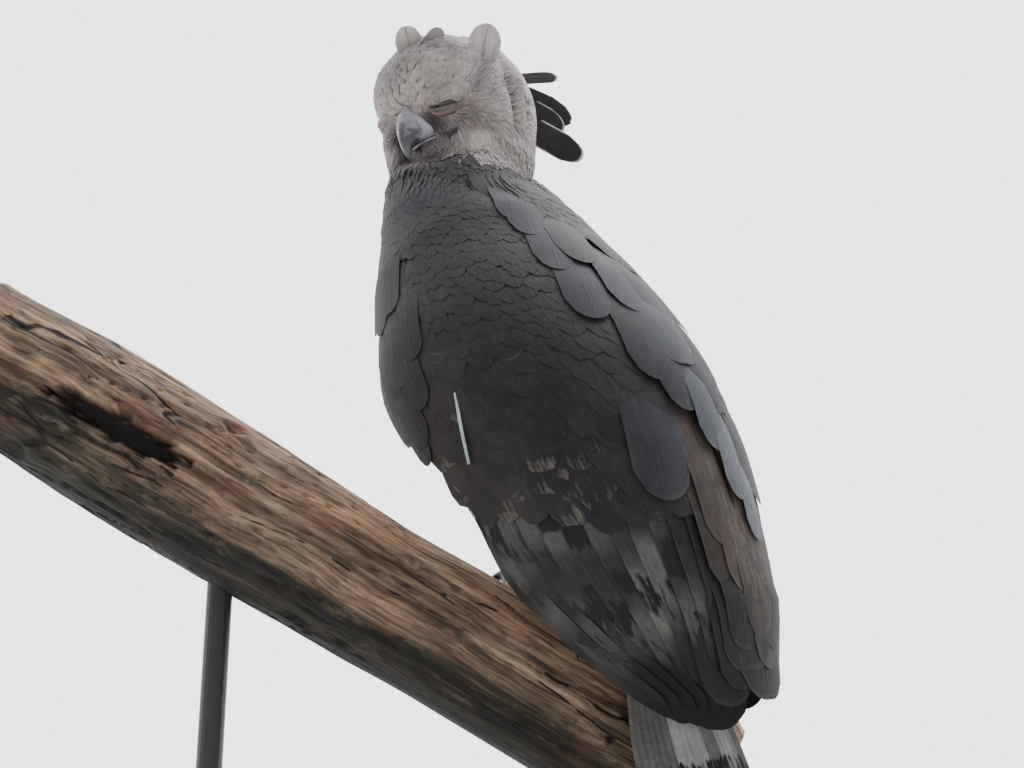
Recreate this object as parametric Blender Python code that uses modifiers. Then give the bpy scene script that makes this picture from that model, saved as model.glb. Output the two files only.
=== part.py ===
"""A life-size harpy eagle, perched on a cut length of branch that a museum stand carries.

Metres, +Z up. The origin is the middle of the stand base's underside.
The bird is modelled in its own frame: x towards the breast, y to its left, z up along the back,
with the root of the tail at the origin. bird_to_world places it.
"""

import math
import random

import bmesh
import bpy
from mathutils import Matrix, Vector, noise

# How the bird sits
TAIL_ROOT = Vector((0.180, -0.012, 0.428))
FACING = math.radians(47.0)  # turned left of straight away from the viewer
LEAN_FORWARD = math.radians(21.0)
LEAN_LEFT = math.radians(10.0)

# Head
HEAD_CENTRE = Vector((0.0175, 0.030, 0.870))
HEAD_TURN = math.radians(50.0)  # left of the viewer
HEAD_DOWN = math.radians(34.0)
HEAD_LENGTH, HEAD_WIDTH, HEAD_HEIGHT = 0.058, 0.062, 0.060  # half sizes of the skull's feathers
EYE_PLACE = Vector((0.0302, 0.0343, -0.0058))
EYE_RADIUS = 0.0115
EYE_SLIT_WAY = Vector((-0.76, 0.63, -0.16)).normalized()  # from the front corner to the back one
LID_THICK = 0.0014
SLIT_HALF_SIZES = (0.0160, 0.0058, 0.0080)  # along, up, outwards
BROW_HALF_SIZES = (0.0220, 0.0064, 0.0085)
BROW_RISE, BROW_OUT = 0.0082, 0.0078  # of its middle, from the middle of the eye
NOSTRIL_PLACE = Vector((0.0490, 0.0165, -0.0180))
NOSTRIL_HALF_SIZES = (0.0014, 0.0040, 0.0042)

# Body rings: height along the back, half width, half depth, shift towards the breast
TORSO_RINGS = (
    (-0.060, 0.030, 0.022, -0.018),
    (-0.020, 0.056, 0.050, -0.010),
    (0.030, 0.082, 0.080, -0.004),
    (0.100, 0.104, 0.102, 0.002),
    (0.180, 0.110, 0.104, 0.014),
    (0.260, 0.098, 0.090, 0.018),
    (0.330, 0.078, 0.071, 0.013),
    (0.378, 0.068, 0.062, 0.007),
)
# The same, round the folded wings
WING_RINGS = (
    (-0.205, 0.030, 0.022, -0.028),
    (-0.190, 0.035, 0.027, -0.028),
    (-0.150, 0.048, 0.040, -0.024),
    (-0.100, 0.078, 0.068, -0.020),
    (0.000, 0.118, 0.107, -0.004),
    (0.100, 0.134, 0.122, 0.000),
    (0.200, 0.136, 0.123, 0.016),
    (0.300, 0.107, 0.096, 0.016),
    (0.350, 0.088, 0.079, 0.011),
    (0.380, 0.078, 0.070, 0.007),
)
NECK_BOTTOM, NECK_TOP = 0.3784, 0.404
# The hood of neck feathers under the skull: height, half width, half depth, middle x and y
HOOD_RINGS = (
    (0.785, 0.067, 0.054, 0.037, 0.044),
    (0.805, 0.071, 0.057, 0.038, 0.045),
    (0.835, 0.072, 0.060, 0.039, 0.045),
    (0.868, 0.070, 0.060, 0.039, 0.044),
    (0.895, 0.060, 0.054, 0.038, 0.042),
    (0.918, 0.042, 0.040, 0.036, 0.040),
    (0.930, 0.020, 0.020, 0.034, 0.038),
)
HOOD_NOTCH = 0.64  # how far it lies back behind the bill, as a share of its radius
HOOD_NOTCH_ANGLES = (math.radians(62.0), math.radians(12.0))  # from the bill: where it starts, and is full
HOOD_NOTCH_HEIGHTS = (0.785, 0.815)

# Tail
TAIL_LENGTH = 0.368
TAIL_START = Vector((-0.008, 0.014, -0.038))  # these two in the bird's frame
TAIL_WAY = Vector((0.04, 0.13, -0.99)).normalized()
TAIL_TWIST = math.radians(33.0)  # its left edge swung towards the breast
TAIL_FEATHERS = 12
TAIL_ROOT_WIDTH, TAIL_TIP_WIDTH = 0.062, 0.118
RECTRIX_WIDTH = 0.040

# Branch
BRANCH_RADIUS = 0.061
BRANCH_SWELL = 0.0065  # how much thicker it grows uphill
BRANCH_Y = 0.050
BRANCH_SLOPE = math.radians(30.8)
BRANCH_MIDDLE = Vector((0.116, BRANCH_Y, 0.3155))  # on its axis, under the bird
BRANCH_UPHILL, BRANCH_DOWNHILL = 0.612, 0.155
SPLIT_UPHILL, SPLIT_TURN = 0.420, math.radians(91.0)
SPLIT_HALF_SIZES = (0.068, 0.022, 0.009)

# Stand
BASE_LENGTH, BASE_DEPTH, BASE_THICK = 0.640, 0.360, 0.022
ROD_RADIUS = 0.011
ROD_PLACES = (-0.165, 0.155)

GAP = 0.00035  # what touching nodes keep
VANE_THICK = 0.0011
CREST_THICK = 0.0013

# Directions of the branch: up its slope, and square to it, upwards
UPHILL = Vector((-math.cos(BRANCH_SLOPE), 0.0, math.sin(BRANCH_SLOPE)))
OVER = Vector((math.sin(BRANCH_SLOPE), 0.0, math.cos(BRANCH_SLOPE)))
NEAR = Vector((0.0, -1.0, 0.0))


def cleared_scene():
    for old in list(bpy.data.objects):
        bpy.data.objects.remove(old, do_unlink=True)


def collection(name):
    made = bpy.data.collections.new(name)
    bpy.context.scene.collection.children.link(made)
    return made


def material(name, colour, roughness, metallic=0.0):
    made = bpy.data.materials.new(name)
    made.use_nodes = True
    shader = made.node_tree.nodes["Principled BSDF"]
    shader.inputs["Base Color"].default_value = (*colour, 1.0)
    shader.inputs["Roughness"].default_value = roughness
    shader.inputs["Metallic"].default_value = metallic
    made.diffuse_color = (*colour, 1.0)
    return made


# Frames of the bird and of its head

def frame_matrix(origin, x, y, z):
    return Matrix.Translation(origin) @ Matrix((x, y, z)).transposed().to_4x4()


def bird_frame():
    forward = Vector((-math.sin(FACING), math.cos(FACING), 0.0))
    left = Vector((-math.cos(FACING), -math.sin(FACING), 0.0))
    up = Vector((0.0, 0.0, 1.0)) + math.tan(LEAN_FORWARD) * forward + math.tan(LEAN_LEFT) * left
    up.normalize()
    breast = (forward - forward.dot(up) * up).normalized()
    return frame_matrix(TAIL_ROOT, breast, up.cross(breast), up)


def head_frame():
    level = Vector((-math.sin(HEAD_TURN), -math.cos(HEAD_TURN), 0.0))
    front = math.cos(HEAD_DOWN) * level - math.sin(HEAD_DOWN) * Vector((0.0, 0.0, 1.0))
    side = Vector((0.0, 0.0, 1.0)).cross(front).normalized()
    return frame_matrix(HEAD_CENTRE, front, side, front.cross(side))


bird_to_world = bird_frame()
head_to_world = head_frame()


# Smooth curves through named rows

def through(rows, at):
    """Catmull-Rom through rows whose first value is the place: the other values at that place."""
    places = [row[0] for row in rows]
    at = min(max(at, places[0]), places[-1])
    i = max(k for k in range(len(rows) - 1) if places[k] <= at)
    before, low, high, after = (
        Vector(rows[min(max(k, 0), len(rows) - 1)][1:]) for k in (i - 1, i, i + 1, i + 2)
    )
    t = (at - places[i]) / (places[i + 1] - places[i])
    bend_low, bend_high = (high - before) / 2, (after - low) / 2
    return (
        low * (2 * t**3 - 3 * t**2 + 1)
        + bend_low * (t**3 - 2 * t**2 + t)
        + high * (3 * t**2 - 2 * t**3)
        + bend_high * (t**3 - t**2)
    )


def smooth(low, high, value):
    t = min(max((value - low) / (high - low), 0.0), 1.0)
    return t * t * (3 - 2 * t)


def ring_point(rings, height, angle, lift=0.0):
    """A point of a ring table. The angle is 0 at the back and grows to the bird's left."""
    width, depth, shift = through(rings, height)
    return Vector((
        shift - (depth + lift) * math.cos(angle),
        (width + lift) * math.sin(angle),
        height,
    ))


# Meshes

def object_from(bm, name, where, finish=None):
    bmesh.ops.recalc_face_normals(bm, faces=bm.faces)
    mesh = bpy.data.meshes.new(name)
    bm.to_mesh(mesh)
    bm.free()
    made = bpy.data.objects.new(name, mesh)
    where.objects.link(made)
    if finish:
        mesh.materials.append(finish)
    return made


def grid_mesh(point, across, along):
    """A grid of faces on point(u, v), with u and v from 0 to 1."""
    bm = bmesh.new()
    bmesh.ops.create_grid(bm, x_segments=across, y_segments=along, size=0.5)
    for vertex in bm.verts:
        vertex.co = point(vertex.co.x + 0.5, vertex.co.y + 0.5)
    return bm


def tube_mesh(point, around, along):
    """A closed skin on point(u, v): u goes once round, and the two ends are capped."""
    bm = grid_mesh(point, around, along)
    bmesh.ops.remove_doubles(bm, verts=bm.verts, dist=1e-6)
    rims = [edge for edge in bm.edges if edge.is_boundary]
    if rims:
        bmesh.ops.holes_fill(bm, edges=rims, sides=0)
    return bm


def shell_mesh(outer, inner, across, along):
    """A closed slab between outer(u, v) and inner(u, v), with triangles alike on both faces."""
    bm = bmesh.new()
    bmesh.ops.create_grid(bm, x_segments=across, y_segments=along, size=0.5)
    bmesh.ops.triangulate(bm, faces=bm.faces, quad_method="FIXED")
    far = bm.verts.layers.float_vector.new("far")
    for vertex in bm.verts:
        u, v = vertex.co.x + 0.5, vertex.co.y + 0.5
        vertex.co = outer(u, v)
        vertex[far] = inner(u, v)
    grown = bmesh.ops.extrude_face_region(bm, geom=list(bm.faces), use_keep_orig=True)["geom"]
    for vertex in [item for item in grown if isinstance(item, bmesh.types.BMVert)]:
        vertex.co = vertex[far]
    bmesh.ops.triangulate(bm, faces=[face for face in bm.faces if len(face.verts) > 3])
    return bm


def transformed(bm, matrix):
    bmesh.ops.transform(bm, matrix=matrix, verts=bm.verts)
    return bm


def apply_modifiers(obj):
    graph = bpy.context.evaluated_depsgraph_get()
    mesh = bpy.data.meshes.new_from_object(obj.evaluated_get(graph))
    obj.modifiers.clear()
    obj.data = mesh


def keep_largest(obj):
    """Leaves only the largest closed surface of the mesh, and makes every face a triangle."""
    bm = bmesh.new()
    bm.from_mesh(obj.data)
    bmesh.ops.triangulate(bm, faces=bm.faces)
    left, islands = set(bm.verts), []
    while left:
        island, edge_of = set(), [left.pop()]
        while edge_of:
            vertex = edge_of.pop()
            island.add(vertex)
            for edge in vertex.link_edges:
                other = edge.other_vert(vertex)
                if other in left:
                    left.discard(other)
                    edge_of.append(other)
        islands.append(island)
    largest = max(islands, key=lambda island: abs(island_volume(island)))
    dropped = [vertex for island in islands if island is not largest for vertex in island]
    bmesh.ops.delete(bm, geom=dropped, context="VERTS")
    bm.to_mesh(obj.data)
    bm.free()


def island_volume(island):
    faces = {face for vertex in island for face in vertex.link_faces}
    return sum(
        f.verts[0].co.dot(f.verts[1].co.cross(f.verts[2].co)) for f in faces
    ) / 6


def boolean(obj, operation, others, solver="EXACT"):
    """Joins or cuts obj by the objects, which are then removed."""
    tools = collection("cutters")
    for other in others:
        for home in list(other.users_collection):
            home.objects.unlink(other)
        tools.objects.link(other)
    modifier = obj.modifiers.new(operation.lower(), "BOOLEAN")
    modifier.operation = operation
    modifier.operand_type = "COLLECTION"
    modifier.collection = tools
    modifier.solver = solver
    bpy.context.view_layer.update()
    apply_modifiers(obj)
    for other in list(tools.objects):
        bpy.data.objects.remove(other, do_unlink=True)
    bpy.data.collections.remove(tools)
    keep_largest(obj)


def grown(obj, by=GAP):
    """A copy of the object's mesh, larger by that distance on every side."""
    bm = bmesh.new()
    bm.from_mesh(obj.data)
    bm.normal_update()
    moves = {vertex: vertex.normal * by for vertex in bm.verts}
    for vertex, move in moves.items():
        vertex.co += move
    return object_from(bm, obj.name + "_room", bpy.context.scene.collection)


def cut_clear(obj, *neighbours):
    """Cuts obj back from each neighbour, so that the two keep the gap."""
    for neighbour in neighbours:
        boolean(obj, "DIFFERENCE", [grown(neighbour)])


# Torso and neck

def make_torso(parts, finish):
    bottom, top = TORSO_RINGS[0][0], TORSO_RINGS[-1][0]

    def point(u, v):
        return ring_point(TORSO_RINGS, bottom + (top - bottom) * v, 2 * math.pi * u)

    return object_from(transformed(tube_mesh(point, 16, 10), bird_to_world), "torso", parts, finish)


def make_neck(parts, finish):
    """From the torso's top face up into the head, bending towards it and narrowing."""
    width, depth, shift = through(TORSO_RINGS, TORSO_RINGS[-1][0])
    _, _, hood_x, hood_y = through(HOOD_RINGS, 0.80)
    hood = bird_to_world.inverted() @ Vector((hood_x, hood_y, 0.82))
    slant = Vector((hood.x - shift, hood.y, 0.0)) / (hood.z - NECK_BOTTOM)

    def point(u, v):
        height = NECK_BOTTOM + (NECK_TOP - NECK_BOTTOM) * v
        scale = 0.90 - 0.16 * v
        angle = 2 * math.pi * u
        middle = Vector((shift, 0.0, height)) + slant * (height - NECK_BOTTOM)
        return middle + Vector((-depth * scale * math.cos(angle), width * scale * math.sin(angle), 0.0))

    return object_from(transformed(tube_mesh(point, 18, 3), bird_to_world), "neck", parts, finish)


# Head

def bump(direction, towards, spread):
    """1 where the direction points at the bump, falling smoothly to 0 at the spread, in radians."""
    angle = direction.angle(Vector(towards), math.pi)
    return smooth(spread, 0.0, angle) if angle < spread else 0.0


HEAD_BUMPS = (  # towards, spread in radians, share of the radius
    ((-0.50, 0.70, -0.30), 0.90, 0.16),  # ruff behind the cheek
    ((0.15, 0.95, -0.35), 0.70, 0.06),  # cheek of the facial disc
    ((-0.85, 0.00, 0.30), 0.90, 0.12),  # nape
    ((0.72, 0.50, 0.34), 0.42, 0.04),  # brow shield
    ((1.00, 0.00, -0.25), 0.70, -0.12),  # face behind the bill
    ((0.62, 0.52, -0.58), 0.45, -0.08),  # corner of the mouth
    ((0.70, 0.00, -0.75), 0.50, -0.06),  # chin
)
FACE_RECESS = 0.075  # how far the face lies back under the brow line, as a share of the radius


def head_point(direction):
    """The head's surface in the given direction from its centre, in the head's frame."""
    base = Vector((direction.x * HEAD_LENGTH, direction.y * HEAD_WIDTH, direction.z * HEAD_HEIGHT))
    mirrored = Vector((direction.x, abs(direction.y), direction.z))
    brow_line = -0.06 + 0.34 * smooth(0.45, -0.10, direction.x)
    under_brow = smooth(brow_line + 0.10, brow_line - 0.10, direction.z)
    under_brow *= smooth(-0.35, 0.10, direction.x) * smooth(-0.95, -0.60, direction.z)
    swelling = sum(share * bump(mirrored, way, spread) for way, spread, share in HEAD_BUMPS)
    return base * (1.0 + swelling - FACE_RECESS * under_brow)


def sphere_direction(u, v):
    """A direction for u round the head and v from below to above."""
    turn, rise = 2 * math.pi * u, math.pi * (v - 0.5)
    return Vector((math.cos(rise) * math.cos(turn), math.cos(rise) * math.sin(turn), math.sin(rise)))


# Each crest feather: the direction of its root, where its tip is in the head's frame, and its width
CREST = (
    ((0.25, -0.30, 0.93), (0.004, -0.014, 0.071), 0.028),
    ((0.05, 0.05, 1.00), (-0.022, 0.004, 0.074), 0.024),
    ((-0.35, 0.50, 0.80), (-0.052, 0.036, 0.050), 0.030),
    ((-0.55, 0.20, 0.80), (-0.080, 0.018, 0.046), 0.028),
    ((-0.55, -0.30, 0.80), (-0.078, -0.026, 0.048), 0.028),
    ((-0.85, 0.30, 0.35), (-0.124, 0.034, -0.030), 0.019),
    ((-0.90, 0.25, 0.20), (-0.112, 0.030, -0.078), 0.034),
    ((-0.90, 0.35, 0.00), (-0.104, 0.034, -0.108), 0.034),
    ((-0.90, -0.10, 0.30), (-0.128, -0.012, -0.026), 0.032),
    ((-0.85, -0.38, 0.25), (-0.116, -0.046, -0.012), 0.030),
)


def make_head(parts, finish):
    """The skull joined with the hood below it and the crest."""
    skull = tube_mesh(lambda u, v: head_point(sphere_direction(u, v)), 20, 16)
    head = object_from(transformed(skull, head_to_world), "head", parts, finish)

    def hood(u, v):
        height = HOOD_RINGS[0][0] + (HOOD_RINGS[-1][0] - HOOD_RINGS[0][0]) * v
        wide, deep, x, y = through(HOOD_RINGS, height)
        turn = 2 * math.pi * u
        off_bill = math.acos(-math.cos(turn) * math.sin(HEAD_TURN) - math.sin(turn) * math.cos(HEAD_TURN))
        notch = HOOD_NOTCH * smooth(*HOOD_NOTCH_ANGLES, off_bill) * smooth(*HOOD_NOTCH_HEIGHTS, height)
        return Vector((x + wide * math.cos(turn) * (1 - notch), y + deep * math.sin(turn) * (1 - notch), height))

    face = []
    for side in (1, -1):
        frame = eye_frame(side)
        brow = frame @ Matrix.Translation((0.0, BROW_RISE, BROW_OUT))
        face += [ellipsoid_mesh(brow, BROW_HALF_SIZES, 10, 6)]
        face += [ellipsoid_mesh(frame, (EYE_RADIUS + LID_THICK,) * 3, 12, 8)]
    grown_on = [transformed(bm, head_to_world) for bm in face] + [tube_mesh(hood, 24, 7), *crest_vanes()]
    boolean(head, "UNION", [object_from(bm, "grown_on", parts) for bm in grown_on])
    return head


def eye_frame(side):
    """Frame of an eye, in the head's: x along the slit of its lids, y up, z outwards."""
    way = side * Vector((EYE_SLIT_WAY.x, side * EYE_SLIT_WAY.y, EYE_SLIT_WAY.z))
    up = (Vector((0.0, 0.0, 1.0)) - way.z * way).normalized()
    place = Vector((EYE_PLACE.x, side * EYE_PLACE.y, EYE_PLACE.z))
    return frame_matrix(place, way, up, way.cross(up))


def ellipsoid_mesh(place, half_sizes, around, along):
    bm = bmesh.new()
    bmesh.ops.create_uvsphere(bm, u_segments=around, v_segments=along, radius=1.0)
    return transformed(bm, place @ Matrix.Diagonal((*half_sizes, 1.0)))


def open_lids(head, parts):
    """Opens the ball of lids round each eye by a slit."""
    slits = []
    for side in (1, -1):
        place = head_to_world @ eye_frame(side) @ Matrix.Translation((0.0, 0.0, EYE_RADIUS))
        slits.append(object_from(ellipsoid_mesh(place, SLIT_HALF_SIZES, 12, 8), "slit", parts))
    boolean(head, "DIFFERENCE", slits)


# Eyes and bill

def make_eye(parts, side, finish):
    ball = ellipsoid_mesh(head_to_world @ eye_frame(side), (EYE_RADIUS,) * 3, 12, 8)
    return object_from(ball, "eye_left" if side > 0 else "eye_right", parts, finish)


# The bill in side view: share of its length, ridge x and z, cutting edge x and z, half width
UPPER_BILL = (
    (0.00, 0.0300, 0.0040, 0.0220, -0.0310, 0.0215),
    (0.20, 0.0460, 0.0030, 0.0360, -0.0315, 0.0195),
    (0.42, 0.0580, -0.0020, 0.0480, -0.0320, 0.0160),
    (0.62, 0.0665, -0.0110, 0.0580, -0.0325, 0.0115),
    (0.80, 0.0715, -0.0220, 0.0635, -0.0340, 0.0070),
    (0.92, 0.0730, -0.0330, 0.0665, -0.0385, 0.0040),
    (1.00, 0.0715, -0.0430, 0.0700, -0.0440, 0.0008),
)
LOWER_BILL = (
    (0.00, 0.0240, -0.0317, 0.0240, -0.0460, 0.0190),
    (0.35, 0.0400, -0.0322, 0.0380, -0.0460, 0.0150),
    (0.70, 0.0530, -0.0328, 0.0500, -0.0440, 0.0100),
    (1.00, 0.0600, -0.0350, 0.0585, -0.0390, 0.0030),
)
BILL_FULLNESS = 0.45  # how much wider the rings are beside the cutting edge than at the ridge


def bill_mesh(rows, fullness, around, along):
    """A loft whose rings are widest beside the cutting edge."""

    def point(u, v):
        ridge_x, ridge_z, edge_x, edge_z, half = through(rows, v)
        ridge, edge = Vector((ridge_x, 0.0, ridge_z)), Vector((edge_x, 0.0, edge_z))
        turn = 2 * math.pi * u
        middle = (ridge + edge) / 2
        wide = half * math.sin(turn) * (0.70 - fullness * math.cos(turn)) / 0.80
        return middle + (ridge - edge) / 2 * math.cos(turn) + Vector((0.0, wide, 0.0))

    return tube_mesh(point, around, along)


def make_bill(parts, finish):
    upper = object_from(
        transformed(bill_mesh(UPPER_BILL, BILL_FULLNESS, 12, 9), head_to_world), "bill_upper", parts, finish
    )
    lower = object_from(
        transformed(bill_mesh(LOWER_BILL, -BILL_FULLNESS, 10, 5), head_to_world), "bill_lower", parts, finish
    )
    nostrils = []
    for side in (1, -1):
        place = Matrix.Translation((NOSTRIL_PLACE.x, side * NOSTRIL_PLACE.y, NOSTRIL_PLACE.z))
        lean = Matrix.Rotation(math.radians(-25.0), 4, "Y")
        nostrils.append(ellipsoid_mesh(head_to_world @ place @ lean, NOSTRIL_HALF_SIZES, 8, 6))
    boolean(upper, "DIFFERENCE", [object_from(bm, "nostril", parts) for bm in nostrils])
    return upper, lower


# Feather vanes

def vane_outline(v, tip=0.42):
    """The half width of a vane, as a share of its widest, from root to rounded tip."""
    root = 0.45 + 0.55 * smooth(0.0, 0.35, v)
    return root * math.sqrt(max(1.0 - (max(v - (1.0 - tip), 0.0) / tip) ** 2.4, 0.03))


def vane_mesh(middle, side, normal, half_width, along, thick):
    """A closed vane along middle(v), from root to tip."""

    def face(offset):
        def point(u, v):
            return middle(v) + side * ((2 * u - 1) * half_width * vane_outline(v)) + normal * offset

        return point

    return shell_mesh(face(thick / 2), face(-thick / 2), 1, along)


def crest_vanes():
    made = []
    for root_way, tip, width in CREST:
        out = Vector(root_way).normalized()
        start = head_point(out) * 0.80
        away = Vector(tip) - start
        length = away.length
        side = away.cross(out).normalized()
        normal = side.cross(away).normalized()

        def middle(v, start=start, away=away, normal=normal, length=length):
            return start + away * v + normal * (0.16 * length * math.sin(math.pi * v))

        bm = vane_mesh(middle, side, normal, width / 2, 3, CREST_THICK)
        made.append(transformed(bm, head_to_world))
    return made


# Wings. Angles are in degrees from the middle of the back, growing forwards round the side.
WING_TOP, WING_BOTTOM = 0.376, -0.130
WING_EDGES = (  # height, back edge, front edge
    (-0.130, 3.0, 112.0),
    (-0.080, 3.0, 126.0),
    (0.000, 3.0, 130.0),
    (0.120, 3.0, 136.0),
    (0.260, 3.0, 130.0),
    (0.376, 6.0, 112.0),
)
# Rows of vanes: name, number, first and last feather as (root height, root angle, tip height,
# tip angle, width), how far the middle tips hang below a straight line, lift of the tips
WING_ROWS = (
    ("primaries", 5, (0.050, 113, -0.150, 124, 0.036), (-0.020, 66, -0.182, 56, 0.036), 0.004, -0.0036),
    ("secondaries", 7, (0.060, 103, -0.080, 111, 0.044), (0.040, 16, -0.150, 20, 0.044), 0.034, 0.0002),
    ("greater coverts", 6, (0.170, 112, 0.100, 116, 0.040), (0.090, 26, -0.020, 30, 0.052), 0.012, 0.0020),
    ("median coverts", 5, (0.220, 96, 0.150, 100, 0.042), (0.170, 34, 0.080, 40, 0.046), 0.010, 0.0030),
    ("scapulars", 6, (0.345, 13, 0.265, 16, 0.036), (0.040, 10, -0.060, 10, 0.044), 0.0, 0.0042),
    ("inner scapulars", 2, (0.230, 24, 0.150, 28, 0.046), (0.165, 20, 0.085, 22, 0.044), 0.0, 0.0022),
    ("hand coverts", 4, (0.340, 98, 0.260, 106, 0.026), (0.230, 110, 0.124, 118, 0.038), 0.0, 0.0020),
)
VANE_TILT = 0.0010  # how far one edge of a wing vane stands above its middle
RIGHT_TIPS_HIGHER = 0.012  # the right wing is folded a little tighter


def wing_surface(side, height, share, lift=0.0):
    back, front = through(WING_EDGES, height)
    return ring_point(WING_RINGS, height, side * math.radians(back + (front - back) * share), lift)


def wing_core(side, name, parts, finish):
    """The folded arm and hand: a slab that thins to its edges."""

    def outer(u, v):
        return wing_surface(side, WING_BOTTOM + (WING_TOP - WING_BOTTOM) * v, u, -0.0035)

    def inner(u, v):
        height = WING_BOTTOM + (WING_TOP - WING_BOTTOM) * v
        edge = math.sin(math.pi * u) ** 0.5 * math.sin(math.pi * (0.04 + 0.92 * v)) ** 0.5
        deep = min(0.052, 0.45 * through(WING_RINGS, height)[1])
        return wing_surface(side, height, u, -0.0047 - deep * edge)

    bm = shell_mesh(outer, inner, 9, 11)
    return object_from(transformed(bm, bird_to_world), name, parts, finish)


def wing_vane(side, feather, tip_lift, tilt, along):
    """A vane that lies along the wing's rings, with its root sunk in the core."""
    root_height, root_angle, tip_height, tip_angle, width = feather

    def spot(v, reach, lift):
        height = root_height + (tip_height - root_height) * v
        angle = math.radians(root_angle + (tip_angle - root_angle) * v)
        ring_width, ring_depth, _ = through(WING_RINGS, height)
        round_speed = math.hypot(ring_depth * math.sin(angle), ring_width * math.cos(angle))
        down = tip_height - root_height
        turned = math.radians(tip_angle - root_angle) * round_speed
        length = math.hypot(down, turned)
        height += reach * -turned / length
        angle += reach * down / length / round_speed
        return ring_point(WING_RINGS, height, side * angle, lift)

    def face(offset):
        def point(u, v):
            reach = (2 * u - 1) * width / 2 * vane_outline(v)
            lift = -0.0055 + (tip_lift + 0.0055) * smooth(0.0, 0.55, v) + tilt * (2 * u - 1)
            return spot(v, reach, lift + offset)

        return point

    return shell_mesh(face(VANE_THICK / 2), face(-VANE_THICK / 2), 1, along)


def wing_vanes(side, parts):
    chance = random.Random(11 if side > 0 else 12)
    made = []
    for name, number, first, last, hang, lift in WING_ROWS:
        for k in range(number):
            share = k / (number - 1)
            feather = [a + (b - a) * share for a, b in zip(first, last)]
            feather[2] -= hang * math.sin(math.pi * share)
            feather[2] += chance.uniform(-0.003, 0.003)
            feather[2] += RIGHT_TIPS_HIGHER if side < 0 and feather[2] < -0.1 else 0.0
            bm = wing_vane(side, feather, lift, VANE_TILT, 4 if name in ("primaries", "secondaries") else 3)
            made.append(object_from(transformed(bm, bird_to_world), name, parts))
    return made


def make_wing(parts, side, finish, *neighbours):
    """Core and vanes in one, kept to its own side of the back and clear of its neighbours."""
    wing = wing_core(side, "wing_left" if side > 0 else "wing_right", parts, finish)
    boolean(wing, "UNION", wing_vanes(side, parts))
    other_side = bmesh.new()
    bmesh.ops.create_cube(other_side, size=1.0)
    transformed(other_side, bird_to_world @ Matrix.Translation((0, side * (GAP - 0.5), 0)))
    boolean(wing, "DIFFERENCE", [object_from(other_side, "other_side", parts)])
    cut_clear(wing, *neighbours)
    return wing


# Tail

def tail_frame():
    across = Vector((math.sin(TAIL_TWIST), math.cos(TAIL_TWIST), 0.0))
    across = (across - across.dot(TAIL_WAY) * TAIL_WAY).normalized()
    return bird_to_world @ frame_matrix(TAIL_START, across.cross(-TAIL_WAY), across, -TAIL_WAY)


def tail_core(parts, finish, length):
    """A roofed slab that the vanes grow from."""

    def face(offset):
        def point(u, v):
            across = 2 * u - 1
            half = TAIL_ROOT_WIDTH / 2 + 0.012 * v
            return Vector((0.010 * across**2 - offset * (1.4 - v), half * across, -length * v))

        return point

    bm = shell_mesh(face(0.007), face(-0.007), 6, 4)
    return object_from(transformed(bm, tail_frame()), "tail", parts, finish)


def make_tail(parts, finish):
    """Twelve vanes stacked under the middle pair, spreading from the rump."""
    tail = tail_core(parts, finish, 0.11)
    vanes = []
    for k in range(TAIL_FEATHERS):
        place = (k - (TAIL_FEATHERS - 1) / 2) / ((TAIL_FEATHERS - 1) / 2)
        root_y = place * (TAIL_ROOT_WIDTH - 0.026) / 2
        tip_y = place * (TAIL_TIP_WIDTH - RECTRIX_WIDTH) / 2
        length = TAIL_LENGTH * (1.0 - 0.05 * place**2)
        depth = 0.0019 * abs(k - (TAIL_FEATHERS - 1) / 2 + 0.25)

        def face(offset, root_y=root_y, tip_y=tip_y, length=length, depth=depth):
            def point(u, v):
                half = RECTRIX_WIDTH / 2 * (0.35 + 0.65 * smooth(0.0, 0.5, v))
                half *= vane_outline(0.4 + 0.6 * v, 0.16)
                across = root_y + (tip_y - root_y) * v + (2 * u - 1) * half
                return Vector((depth + 6.0 * across**2 - offset, across, -0.030 - (length - 0.030) * v))

            return point

        bm = shell_mesh(face(VANE_THICK / 2), face(-VANE_THICK / 2), 1, 4)
        vanes.append(object_from(transformed(bm, tail_frame()), "rectrix", parts))
    boolean(tail, "UNION", vanes)
    return tail


# Legs and feet

def branch_point(uphill, turn, radius):
    """A point round the branch: distance up its slope, and the angle from its top to the viewer."""
    return (
        BRANCH_MIDDLE
        + UPHILL * uphill
        + (OVER * math.cos(turn) + NEAR * math.sin(turn)) * radius
    )


# Each foot: distance up the slope, angle towards the viewer, heading of the middle toe from uphill
# towards the far side, and the hip in the bird's frame
FEET = {
    "left": (0.034, math.radians(8.0), math.radians(72.0), Vector((0.030, 0.046, 0.070))),
    "right": (-0.056, math.radians(2.0), math.radians(104.0), Vector((0.030, -0.044, 0.060))),
}
# Each toe: turn from the middle toe, length, radius at its root, talon length
TOES = {
    "inner": (math.radians(34.0), 0.056, 0.0115, 0.052),
    "middle": (0.0, 0.074, 0.0115, 0.046),
    "outer": (math.radians(-34.0), 0.058, 0.0105, 0.040),
    "hind": (math.radians(165.0), 0.036, 0.0125, 0.058),
}
PAD_RADIUS = 0.0165
TARSUS_RADIUS = 0.0115


def toe_path(foot, toe, distance, height):
    """A point that far along a toe from the middle of the foot, and that high over the bark."""
    uphill, turn, heading, _ = FEET[foot]
    heading += TOES[toe][0] if foot == "left" else -TOES[toe][0]
    radius = BRANCH_RADIUS + height
    return branch_point(
        uphill + distance * math.cos(heading),
        turn - distance * math.sin(heading) / radius,
        radius,
    )


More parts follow.
